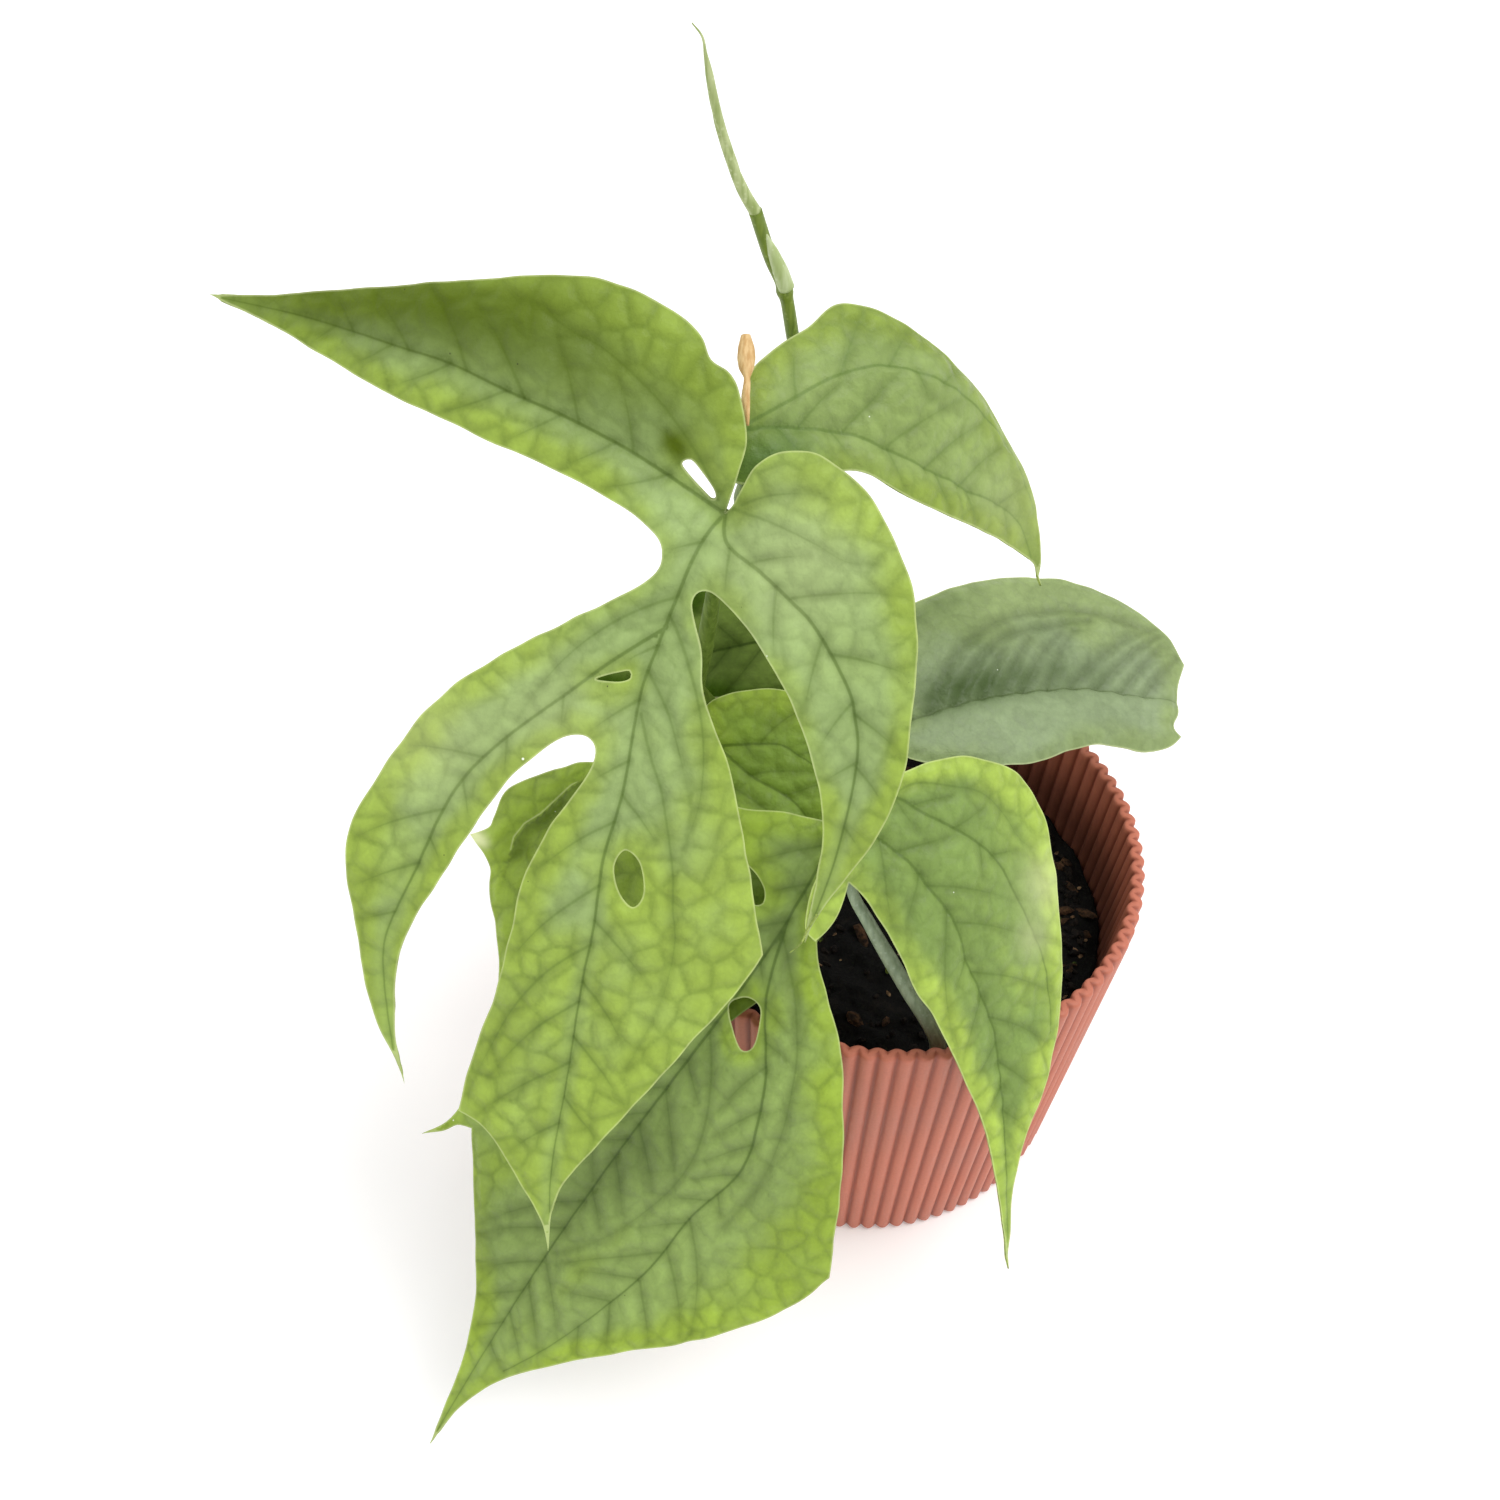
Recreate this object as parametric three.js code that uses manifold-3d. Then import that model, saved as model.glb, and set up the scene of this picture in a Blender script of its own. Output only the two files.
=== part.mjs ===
// A silver amydrium in a fluted plastic pot: pot, soil, climbing stem, seven leaves on their
// petioles, the rolled new leaf with its sheath, and one dried sheath. Millimetres, +Z up.
// The origin is the middle of the pot's base, and the pot's axis is Z.

import * as THREE from "three";
import { mergeVertices } from "three/addons/utils/BufferGeometryUtils.js";
import Module from "manifold-3d";

const wasm = await Module();
wasm.setup();

// Clearance between pieces that touch
const GAP = 0.3;

// Pot
const POT_HEIGHT = 105;
const RIM_RADIUS = 70;
const BASE_RADIUS = 61.5;
const WALL = 3.6;
const FLOOR = 4;
const FLUTES = 90;
const FLUTE_DEPTH = 1.4;
const INNER_FLUTE_DEPTH = 1.0;
const POINTS_PER_FLUTE = 4;
const DRAIN_HOLES = 5;
const DRAIN_RADIUS = 4.5;
const DRAIN_CIRCLE = 34;
const DRAIN_SIDES = 12;

// Soil
const SOIL_TOP = 76;
const SOIL_EDGE_DROP = 3;
const SOIL_LUMP = 1.6;
const SOIL_SIDES = 40;
const BARK_CHIPS = 18;
const BARK_SIZE = [7, 4.5, 3];
const BARK_TILT = 0.5;
const STEM_HOLE_DEPTH = 16;
const STEM_HOLE_PLAY = 1;
const HOLE_SIDES = 12;
const CHIP_CLEARANCE = 9;
const CHIP_MARGIN = 7;
const CHIP_SEED = 11;
const SOIL_RINGS = [0.9, 0.72, 0.54, 0.36, 0.18, 0];

// Leaves
const BLADE = 0.85;
const CELL = 9;
const PRISM_HALF = 70;
const SEAT_DEPTH = 0.6;
const SEAT_START = -3;
const SEAT_END = 4;
const SEAT_RISE = 1.5;
const SEAT_RADII = [1.5, 1.2];
const TUBE_SIDES = 8;

const finish = (color, roughness) => new THREE.MeshStandardMaterial({ color, roughness, metalness: 0 });
const FINISHES = {
  pot: finish(0xc9806c, 0.5),
  soil: finish(0x1d1814, 1),
  stem: finish(0x5f8a3c, 0.6),
  leaf: finish(0x8fae6c, 0.55),
  olderLeaf: finish(0x8b9c84, 0.6),
  newLeaf: finish(0x9fb98a, 0.55),
  dried: finish(0xd9b48c, 0.85),
};

// Booleans on closed meshes

function toManifold(geometry) {
  const bare = geometry.clone();
  bare.deleteAttribute("normal");
  bare.deleteAttribute("uv");
  const merged = mergeVertices(bare, 1e-4);
  return new wasm.Manifold(new wasm.Mesh({
    numProp: 3,
    vertProperties: new Float32Array(merged.attributes.position.array),
    triVerts: new Uint32Array(merged.index.array),
  }));
}

function toGeometry(solid) {
  const mesh = solid.getMesh();
  const geometry = new THREE.BufferGeometry();
  geometry.setAttribute("position", new THREE.BufferAttribute(new Float32Array(mesh.vertProperties), 3));
  geometry.setIndex(new THREE.BufferAttribute(new Uint32Array(mesh.triVerts), 1));
  geometry.computeVertexNormals();
  return geometry;
}

const moved = (geometry, matrix) => geometry.clone().applyMatrix4(matrix);

// A repeatable stream of numbers from 0 to 1
function randomStream(seed) {
  let state = seed;
  return () => {
    state = (state * 1664525 + 1013904223) % 4294967296;
    return state / 4294967296;
  };
}

// A closed round tube along points, whose radius follows evenly spaced radii
function taperedTube(points, radii, stepLength = 5, sides = TUBE_SIDES) {
  const curve = new THREE.CatmullRomCurve3(points.map((point) => new THREE.Vector3(...point)));
  const steps = Math.max(3, Math.ceil(curve.getLength() / stepLength));
  const circle = new THREE.Shape();
  circle.absarc(0, 0, 1, 0, 2 * Math.PI);
  const straight = new THREE.ExtrudeGeometry(circle, {
    depth: 1, steps, curveSegments: sides / 2, bevelEnabled: false,
  });
  const frames = curve.computeFrenetFrames(steps);
  const position = straight.attributes.position;
  for (let i = 0; i < position.count; i += 1) {
    const step = Math.round(position.getZ(i) * steps);
    const along = (step / steps) * (radii.length - 1);
    const lower = Math.min(Math.floor(along), radii.length - 2);
    const radius = THREE.MathUtils.lerp(radii[lower], radii[lower + 1], along - lower);
    const place = curve.getPointAt(step / steps)
      .addScaledVector(frames.normals[step], position.getX(i) * radius)
      .addScaledVector(frames.binormals[step], position.getY(i) * radius);
    position.setXYZ(i, place.x, place.y, place.z);
  }
  return straight;
}

// Pot: a corrugated wall of even thickness, whose inner flutes are staggered by half a flute

const potRadius = (z) => THREE.MathUtils.lerp(BASE_RADIUS, RIM_RADIUS, z / POT_HEIGHT);
const outerFlute = (turn) => FLUTE_DEPTH * (Math.sin(Math.PI * (turn % 1)) - 1);
const innerFlute = (turn) => -INNER_FLUTE_DEPTH * Math.sin(Math.PI * ((turn + 0.5) % 1));

function fluteRing(z, baseRadius, flute) {
  const count = FLUTES * POINTS_PER_FLUTE;
  return Array.from({ length: count }, (_, i) => {
    const angle = (2 * Math.PI * i) / count;
    const radius = baseRadius + flute(i / POINTS_PER_FLUTE);
    return new THREE.Vector3(radius * Math.cos(angle), radius * Math.sin(angle), z);
  });
}

function potGeometry() {
  const count = FLUTES * POINTS_PER_FLUTE;
  const innerRim = RIM_RADIUS - WALL + INNER_FLUTE_DEPTH / 2;
  const innerFloor = potRadius(FLOOR) - WALL + INNER_FLUTE_DEPTH / 2;
  const rings = [
    fluteRing(0, BASE_RADIUS, outerFlute),
    fluteRing(POT_HEIGHT, RIM_RADIUS, outerFlute),
    fluteRing(POT_HEIGHT, innerRim, innerFlute),
    fluteRing(FLOOR, innerFloor, innerFlute),
  ];
  const vertices = rings.flat();
  const bottomCentre = vertices.push(new THREE.Vector3(0, 0, 0)) - 1;
  const floorCentre = vertices.push(new THREE.Vector3(0, 0, FLOOR)) - 1;
  const index = [];
  for (let i = 0; i < count; i += 1) {
    const next = (i + 1) % count;
    index.push(bottomCentre, next, i);
    for (let ring = 0; ring < rings.length - 1; ring += 1) {
      const low = ring * count;
      const high = low + count;
      index.push(low + i, low + next, high + next, low + i, high + next, high + i);
    }
    const last = (rings.length - 1) * count;
    index.push(last + i, last + next, floorCentre);
  }
  const shell = new THREE.BufferGeometry().setFromPoints(vertices);
  shell.setIndex(index);
  let solid = toManifold(shell);
  for (let i = 0; i < DRAIN_HOLES; i += 1) {
    const angle = (2 * Math.PI * (i + 0.5)) / DRAIN_HOLES;
    const drill = new THREE.CylinderGeometry(DRAIN_RADIUS, DRAIN_RADIUS, 4 * FLOOR, DRAIN_SIDES)
      .rotateX(Math.PI / 2)
      .translate(DRAIN_CIRCLE * Math.cos(angle), DRAIN_CIRCLE * Math.sin(angle), 0);
    solid = solid.subtract(toManifold(drill));
  }
  return toGeometry(solid);
}

// What stands in the soil: the stem, and two older petioles that rise from below its surface
const HOLE_FLOOR = SOIL_TOP - STEM_HOLE_DEPTH;
const STEM_FOOT = { x: -5, y: 10, radius: 2.9 };
const FRONT_FOOT = { x: 13.6, y: -55.6, radius: 2.4 };
const BACK_FOOT = { x: 9, y: 14, radius: 2.2 };
const footPoint = (foot, z = HOLE_FLOOR + GAP) => [foot.x, foot.y, z];

// Climbing stem: it leans left as it rises, and thins towards the growing tip

const STEM_PATH = [
  footPoint(STEM_FOOT), footPoint(STEM_FOOT, SOIL_TOP), [-6, 10, 105], [-12, 9, 140], [-20, 8, 180],
  [-26, 7, 215], [-31, 6.5, 245], [-34, 6, 260], [-36.5, 5, 272.5], [-39.5, 4, 280], [-43, 2, 291.6],
];
const STEM_TIP_RADIUS = 1.35;
const STEM_RADII = [STEM_FOOT.radius, 2.8, 2.5, 2.2, 1.9, 1.6, 1.4, STEM_TIP_RADIUS];
const STEM_STEP = 9;
const NODE_HEIGHTS = [106, 119, 139, 153, 178, 205, 228, 250, 272];
const NODE_SWELL = 0.5;
const NODE_BANDS = 4;
const SEARCH_STEPS = 200;

function stemAt(z) {
  const curve = new THREE.CatmullRomCurve3(STEM_PATH.map((point) => new THREE.Vector3(...point)));
  let best = curve.getPointAt(0);
  for (let i = 1; i <= SEARCH_STEPS; i += 1) {
    const point = curve.getPointAt(i / SEARCH_STEPS);
    if (Math.abs(point.z - z) < Math.abs(best.z - z)) {
      best = point;
    }
  }
  return best;
}

function stemRadiusAt(z) {
  const share = THREE.MathUtils.clamp((z - SOIL_TOP) / (STEM_PATH.at(-1)[2] - SOIL_TOP), 0, 1);
  return THREE.MathUtils.lerp(STEM_FOOT.radius, STEM_TIP_RADIUS, share);
}

function stemSolid(extra = 0) {
  let solid = toManifold(taperedTube(STEM_PATH, STEM_RADII.map((radius) => radius + extra), STEM_STEP));
  for (const z of NODE_HEIGHTS) {
    const centre = stemAt(z);
    const radius = stemRadiusAt(z) + NODE_SWELL + extra;
    const ring = new THREE.SphereGeometry(radius, TUBE_SIDES, NODE_BANDS);
    solid = solid.add(toManifold(ring.translate(centre.x, centre.y, centre.z)));
  }
  return solid;
}

const stem = stemSolid();
const stemClearance = stemSolid(GAP);

// The rolled new leaf stands on the stem's tip, and ends in a hair-thin point
const NEW_LEAF_PATH = [
  [-43.2, 1.9, 292.3], [-45.5, 1, 296.5], [-47.9, 0, 303.2], [-50.1, -1, 310.6], [-51.3, -2, 316.2],
  [-52.2, -3, 321.5], [-52.9, -3.6, 325.5], [-53.6, -4, 329.1], [-55.4, -4, 331.4],
];
const NEW_LEAF_RADII = [1.35, 1.55, 1.4, 1.25, 1.05, 0.8, 0.6, 0.45, 0.35];

// The pale sheath of the tip leans against the stem's right side
const SHEATH_PATH = [[-35.3, 4.2, 272.8], [-36.6, 3.3, 277], [-38.4, 2.6, 282], [-40.6, 1.8, 287.2]];
const SHEATH_RADII = [1.7, 1.9, 1.5, 0.4];

// The dried sheath is a spindle with a narrow neck, left standing where the upper leaf joins
const DRIED_PATH = [
  [-42.1, -22.8, 259.1], [-42.5, -21.1, 261.2], [-42.9, -18.8, 262.9], [-42.8, -16.1, 264.8],
  [-43.1, -12.8, 265.8], [-43.3, -9.4, 267], [-43.6, -6.4, 268.6],
];
const DRIED_RADII = [0.35, 0.65, 0.95, 0.85, 0.65, 1.6, 1.85, 1.65, 1];

// Leaves. A leaf's frame starts where its petiole joins: x runs towards the tip, y to the
// right seen from above with the tip down, and z out of the upper face. heading is the turn
// of x about +Z from +X, drop is how far x points below the horizon, and roll turns the blade
// about x. An outline is a list of runs, each smooth, which meet in corners or drip tips.

const LEAVES = [
  {
    name: "leaf_large_lobed",
    base: [-46, -36, 248],
    heading: -105,
    drop: 48,
    roll: -8,
    length: 158,
    droop: 10,
    swells: [[-20, -108, 30, -14], [-20, -50, 24, 5], [128, -42, 22, -9], [85, 38, 22, -12], [10, 30, 20, 4],
      [70, 0, 26, 4]],
    outline: [
      [[0, 0], [-8, 1.2], [-15, 1.2], [-22, -1.5], [-26.6, -4.8], [-28.3, -8.9], [-32.1, -12],
        [-35.8, -18.9], [-38, -28], [-38, -37], [-34, -54], [-27, -82], [-19, -116]],
      [[-19, -116], [-15, -98], [-9, -78], [-4, -54], [1, -29], [6, -15], [11, -10], [17, -12], [27, -24],
        [38, -37], [50, -48], [66, -56], [83, -61], [103, -56], [120, -51], [136, -41]],
      [[136, -41], [126, -45], [110, -47], [99, -45], [86, -40], [66, -32], [54, -24], [50, -17], [55, -14],
        [70, -20], [82, -23], [97, -24], [110, -24.8], [119, -26.5], [128, -27.4], [138, -28]],
      [[138, -28], [140, -21], [149, -11], [156, -5], [163, -2]],
      [[163, -2], [153, -3], [145, -1], [135, 4], [120, 12], [107, 19], [96, 25], [88, 28]],
      [[88, 28], [80, 25], [61, 18], [48, 12], [37, 5], [28, 2], [19, -2], [16, 1], [20, 8], [26, 15],
        [38, 25], [54, 33], [66, 35], [84, 36]],
      [[84, 36], [73, 39], [58, 45], [44, 47], [31, 46], [15, 43], [3, 38], [-9, 28], [-14.8, 17],
        [-14.4, 9.4], [-10.6, 4.4], [-5.3, 2.4], [-1.6, 1.2], [0, 0]],
    ],
    holes: [
      [[-7.2, -10.3], [-8.4, -8.7], [-6.6, -6.1], [-3.9, -3.2], [-2.3, -2.5], [-1.9, -3.3], [-3.2, -5.3],
        [-5, -7.8]],
      [[38.4, -17.5], [38.2, -15], [37.6, -12.3], [36.5, -10.7], [35.2, -11.2], [35.9, -13.1], [37.1, -15.5]],
      [[71, -4], [75, -5.5], [80, -3.5], [82.5, 0], [79, 1.5], [73, -0.5]],
    ],
    veins: [
      { depth: 2, width: 5, points: [[0, 0], [17, -5], [40, -8], [74, -8], [102, -7], [144, -5], [162, -2]] },
      { depth: 1.5, width: 5, points: [[25, -6], [42, -22], [62, -38], [87, -46], [113, -49], [135, -41]] },
      { depth: 4, width: 9, points: [[0, -1], [-8, -23], [-13, -46], [-17, -71], [-19, -94], [-19, -115]] },
      { depth: 2, width: 5, points: [[0, 0], [10, 10], [18, 23], [34, 35], [50, 38], [84, 36]] },
    ],
    petiole: [[-12.5, 9, 138.5], [-25.4, 9, 137.4], [-39.7, 8.5, 138.3], [-47.9, 9.2, 142.9],
      [-51.6, 8.6, 148.5], [-52.1, 2, 157.2], [-51.5, -2, 167.1], [-50, -6.3, 180.7],
      [-48.7, -11.6, 197.4], [-47.4, -21.6, 221.9]],
    radii: [2.3, 2, 1.9, 1.9],
    material: FINISHES.leaf,
  },
  {
    name: "leaf_upper_right",
    base: [-42, -23, 258],
    heading: 6,
    drop: 32,
    roll: 29,
    length: 80,
    droop: 6,
    swells: [[78, 2, 16, -6], [35, 26, 14, 4], [10, 25, 14, -2], [0, -8, 4.5, -6.5]],
    outline: [
      [[0, 0], [-2, 6], [-2, 13], [3, 22], [8, 28], [13, 36], [21, 39], [30, 39], [42, 36], [55, 33],
        [68, 27], [79, 19], [85, 12], [88, 6]],
      [[88, 6], [84, 10], [76, 10], [66, 9], [53, 6], [39, 4], [28, 4], [16, -3], [10, -6.5], [5, -8.4],
        [1, -7.6], [-1, -4], [0, 0]],
    ],
    holes: [],
    veins: [
      { depth: 2, width: 6, points: [[0, 0], [8, 5], [21, 10], [43, 12], [73, 16], [87, 8]] },
      { depth: -3, width: 9, points: [[7, 10], [20, 23], [37, 29], [54, 29], [69, 24], [77, 19]] },
    ],
    petiole: [[-24.5, 7, 205], [-35.4, -7, 219], [-42.9, -15.5, 232.8], [-41.8, -19.5, 243.9],
      [-41.4, -21.5, 251.8]],
    radii: [2, 1.6, 1.5],
    material: FINISHES.leaf,
  },
  {
    name: "leaf_shaded_middle",
    base: [-48.5, -3, 142.1],
    heading: -87,
    drop: 29.4,
    roll: 7.6,
    length: 74,
    droop: 3,
    swells: [[35, 40, 18, -4]],
    outline: [
      [[0, 0], [-5.5, -1.5], [-11, -0.5], [-13.5, 5], [-14.5, 13], [-14, 20], [-11, 28], [-5, 33], [3, 36],
        [14, 37], [27, 36], [39, 34], [49, 28], [58, 20], [65, 12], [70, 5]],
      [[70, 5], [65, -1], [57, -10], [46, -17], [32, -22], [16, -23], [4, -20], [-4, -14], [-6, -8], [-4, -3],
        [0, 0]],
    ],
    holes: [],
    veins: [
      { depth: 1.5, width: 5, points: [[0, 0], [7, 3], [17, 5], [44, 6], [70, 5]] },
      { depth: 1.2, width: 5, points: [[1, 3], [8, 11], [14, 21], [22, 27], [32, 32]] },
    ],
    petiole: [[-8.3, 10, 118.5], [-16.8, 0.5, 127.8], [-32.5, -1.3, 131.6], [-43.5, -1.9, 136.4]],
    radii: [2, 1.6, 1.5],
    material: FINISHES.leaf,
  },
  {
    name: "leaf_bottom",
    base: [-15, -33, 150],
    heading: -131,
    drop: 41,
    roll: -16,
    length: 188,
    droop: 12,
    swells: [[40, -76, 16, -5], [110, -42, 18, -6], [110, 50, 22, -7], [60, 20, 24, 4], [80, -30, 24, 4]],
    outline: [
      [[0, 0], [2, -4], [6, -14], [11, -23], [15, -43], [23, -61], [29, -67], [38, -74], [43, -76],
        [49, -75], [52, -74.5], [56, -77.5]],
      [[56, -77.5], [57, -74], [58, -71], [60.2, -67.8], [64, -65], [71, -58], [80, -51], [91, -46],
        [100, -47], [106, -45.3], [112, -42.8], [118.5, -42.7], [124, -44.2], [128.5, -46.8]],
      [[128.5, -46.8], [124.8, -43], [121, -40.6], [119.5, -37]],
      [[119.5, -37], [130, -29], [142, -20], [153, -13], [165, -8], [178, -5], [197, -2]],
      [[197, -2], [187, -1], [178, 1], [167, 6], [155, 15], [143, 26], [132, 37], [120, 47], [106, 55],
        [95, 58]],
      [[95, 58], [86, 54], [71, 47], [56, 38], [45, 30], [37, 21], [30, 13], [22, 8], [10, 6], [0, 0]],
    ],
    holes: [
      [[48, 4], [52, 1.5], [56, 5.5], [59, 10], [57, 12], [52, 10.5], [48, 8]],
      [[22, -15], [22, -11], [24, -7], [27, -5.5], [28.5, -7.5], [27, -12]],
    ],
    veins: [
      { depth: 2, width: 5, points: [[0, 0], [34, 2], [63, 1], [107, -2], [145, -3], [196, -2]] },
      {
        depth: 1.5,
        width: 5,
        points: [[28, 2], [45, 8], [66, 21], [84, 26], [103, 22], [136, 16], [167, 4]],
      },
      {
        depth: 2.5,
        width: 4,
        points: [[24, -57.5], [30, -58.5], [36, -60.5], [42, -62], [47, -64], [53, -63]],
      },
    ],
    petiole: [[-6, 10, 106], [7, -8, 112], [6, -23, 130], [-4, -31, 145]],
    radii: [2.3, 1.8, 1.7, 1.8],
    material: FINISHES.leaf,
  },
  {
    name: "leaf_lower_right",
    base: [-12, -44, 165],
    heading: -52,
    drop: 49,
    roll: 6,
    length: 124,
    droop: 8,
    swells: [[20, 44, 16, -5], [30, 18, 18, 4], [20, -18, 10, -5], [70, 30, 16, -2]],
    outline: [
      [[0, 0], [-5, 6], [-5, 18], [-3, 29], [2, 37], [9, 44], [20, 47], [32, 45], [53, 39], [66, 35],
        [77, 29], [86, 22], [94, 14], [105, 7], [125, -1]],
      [[125, -1], [113, 1], [100, 3], [84, 4], [70, 3], [55, 1], [42, -2], [28, -3], [18, -5], [13, -7]],
      [[13, -7], [19, -11], [22, -15], [23, -19]],
      [[23, -19], [19, -20], [13, -17], [7, -12], [2, -5], [0, 0]],
    ],
    holes: [],
    veins: [
      { depth: 1.8, width: 5, points: [[0, 0], [15, 8], [32, 13], [65, 15], [76, 13], [94, 8], [124, 0]] },
      { depth: 1.2, width: 5, points: [[0, 3], [6, 16], [23, 29], [41, 32], [63, 32]] },
    ],
    petiole: [footPoint(FRONT_FOOT), footPoint(FRONT_FOOT, 80), [13.7, -56.8, 94], [3.4, -53.8, 114.3],
      [-6.9, -50.3, 133.5], [-12.6, -48.2, 146]],
    radii: [FRONT_FOOT.radius, 2.2, 2, 1.9],
    material: FINISHES.leaf,
  },
  {
    name: "leaf_back_silver",
    base: [1, 1, 151],
    heading: 10,
    drop: 10,
    roll: 17,
    length: 76,
    droop: 4,
    swells: [[70, -5, 12, -4], [40, 42, 18, -4], [25, 20, 16, 4]],
    outline: [
      [[0, 0], [-4, 7], [-6, 17], [-3, 27], [3, 32.5], [12.4, 37.7], [18, 40.4], [24.2, 43.1], [32, 45.8],
        [46, 48], [59, 46], [71, 40], [80, 32], [84, 24]],
      [[84, 24], [81, 17], [80, 10], [78, 6], [80, 3]],
      [[80, 3], [76, 0], [68, -2], [55, -2], [45, -5], [36, -9], [26, -11], [13, -11.5], [2, -11],
        [-4, -7], [-4, -2], [0, 0]],
    ],
    holes: [],
    veins: [
      { depth: 1.8, width: 6, points: [[0, 0], [17, 6], [33, 10], [54, 14], [80, 13]] },
    ],
    petiole: [footPoint(BACK_FOOT), footPoint(BACK_FOOT, 84), [6, 8, 112], [0, 2, 134]],
    radii: [BACK_FOOT.radius, 2, 1.8, 1.8],
    material: FINISHES.olderLeaf,
  },
  {
    name: "leaf_shaded_inner",
    base: [-24, 23.5, 155.5],
    heading: 176,
    drop: 16,
    roll: -36,
    length: 67,
    droop: 3,
    swells: [[30, -18, 14, -3]],
    outline: [
      [[0, 0], [2, -11], [10, -20], [22, -25], [31, -19], [39, -12], [47, -7], [57, -3], [68, 0]],
      [[68, 0], [60, 6], [50, 10], [39, 12], [27, 13], [16, 14], [7, 14], [1, 9], [0, 0]],
    ],
    holes: [],
    veins: [
      { depth: 1.5, width: 5, points: [[0, 0], [25, 0], [41, 3], [67, 0]] },
    ],
    petiole: [[-14.5, 9, 153], [-17, 14, 157], [-20, 18, 158]],
    radii: [1.9, 1.5, 1.4],
    material: FINISHES.leaf,
  },
];

function leafMatrix({ base, heading, drop, roll }) {
  const [h, d, r] = [heading, drop, roll].map(THREE.MathUtils.degToRad);
  const along = new THREE.Vector3(Math.cos(d) * Math.cos(h), Math.cos(d) * Math.sin(h), -Math.sin(d));
  const level = new THREE.Vector3(-Math.sin(h), Math.cos(h), 0);
  const across = level.applyAxisAngle(along, r);
  const face = new THREE.Vector3().crossVectors(along, across);
  return new THREE.Matrix4().makeBasis(along, across, face).setPosition(...base);
}

function distanceToLine(x, y, points) {
  let nearest = Infinity;
  for (let i = 1; i < points.length; i += 1) {
    const [ax, ay] = points[i - 1];
    const [dx, dy] = [points[i][0] - ax, points[i][1] - ay];
    const share = THREE.MathUtils.clamp(((x - ax) * dx + (y - ay) * dy) / (dx * dx + dy * dy), 0, 1);
    nearest = Math.min(nearest, Math.hypot(x - ax - share * dx, y - ay - share * dy));
  }
  return nearest;
}

// Height of the blade's middle: it droops towards the tip, swells between the main veins and
// is creased along each of them
function relief(leaf, x, y) {
  let height = -leaf.droop * (x / leaf.length) ** 2;
  for (const [cx, cy, spread, rise] of leaf.swells) {
    height += rise * Math.exp(-((x - cx) ** 2 + (y - cy) ** 2) / (2 * spread ** 2));
  }
  for (const { depth, width, points } of leaf.veins) {
    height -= depth * Math.exp(-distanceToLine(x, y, points) / width);
  }
  return height;
}

function outlineShape(leaf) {
  const shape = new THREE.Shape();
  shape.moveTo(...leaf.outline[0][0]);
  for (const run of leaf.outline) {
    shape.splineThru(run.slice(1).map(([x, y]) => new THREE.Vector2(x, y)));
  }
  for (const hole of leaf.holes) {
    const path = new THREE.Path();
    path.moveTo(...hole[0]);
    path.splineThru([...hole.slice(1), hole[0]].map(([x, y]) => new THREE.Vector2(x, y)));
    shape.holes.push(path);
  }
  return shape;
}

// A wavy slab of even cells, split alike on both faces
function slab(leaf, box) {
  const columns = Math.ceil((box.max.x - box.min.x) / CELL) + 2;
  const rows = Math.ceil((box.max.y - box.min.y) / CELL) + 2;
  const plate = new THREE.BoxGeometry(columns * CELL, rows * CELL, BLADE, columns, rows, 1)
    .translate((box.min.x + box.max.x) / 2, (box.min.y + box.max.y) / 2, 0);
  const position = plate.attributes.position;
  for (let i = 0; i < position.count; i += 1) {
    position.setZ(i, position.getZ(i) + relief(leaf, position.getX(i), position.getY(i)));
  }
  return toManifold(plate);
}

// Height of the middle of a blade at one place on it
function bladeHeight(blade, x, y) {
  const probe = new THREE.BoxGeometry(0.2, 0.2, 2 * PRISM_HALF).translate(x, y, 0);
  const core = toGeometry(blade.intersect(toManifold(probe)));
  core.computeBoundingBox();
  return (core.boundingBox.min.z + core.boundingBox.max.z) / 2;
}

function leafGeometry(leaf) {
  const prism = new THREE.ExtrudeGeometry(outlineShape(leaf), {
    depth: 2 * PRISM_HALF, steps: 1, curveSegments: 2, bevelEnabled: false,
  }).translate(0, 0, -PRISM_HALF);
  prism.computeBoundingBox();
  const blade = slab(leaf, prism.boundingBox).intersect(toManifold(prism));
  const toLeaf = leafMatrix(leaf).invert();
  const path = leaf.petiole.map((point) => new THREE.Vector3(...point).applyMatrix4(toLeaf).toArray());
  const seat = bladeHeight(blade, SEAT_END, 0) - SEAT_DEPTH;
  path.push([SEAT_START, 0, seat - SEAT_RISE], [SEAT_END, 0, seat]);
  const tube = toManifold(taperedTube(path, [...leaf.radii, ...SEAT_RADII]));
  const clearance = toManifold(moved(toGeometry(stemClearance), toLeaf));
  return toGeometry(blade.add(tube.subtract(clearance)));
}

function leafMesh(leaf) {
  const mesh = new THREE.Mesh(leafGeometry(leaf), leaf.material);
  mesh.name = leaf.name;
  mesh.applyMatrix4(leafMatrix(leaf));
  return mesh;
}

// Soil: it fills the pot, with a lumpy top, bark chips and plain holes for what stands in it

const soilRadius = (z) => potRadius(z) - WALL - INNER_FLUTE_DEPTH / 2 - GAP;

function lumps(x, y) {
  const wave = Math.sin(0.31 * x + 1.1) * Math.cos(0.27 * y - 0.6) + 0.6 * Math.sin(0.52 * y + 0.35 * x);
  return SOIL_LUMP * 0.6 * wave;
}

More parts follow.
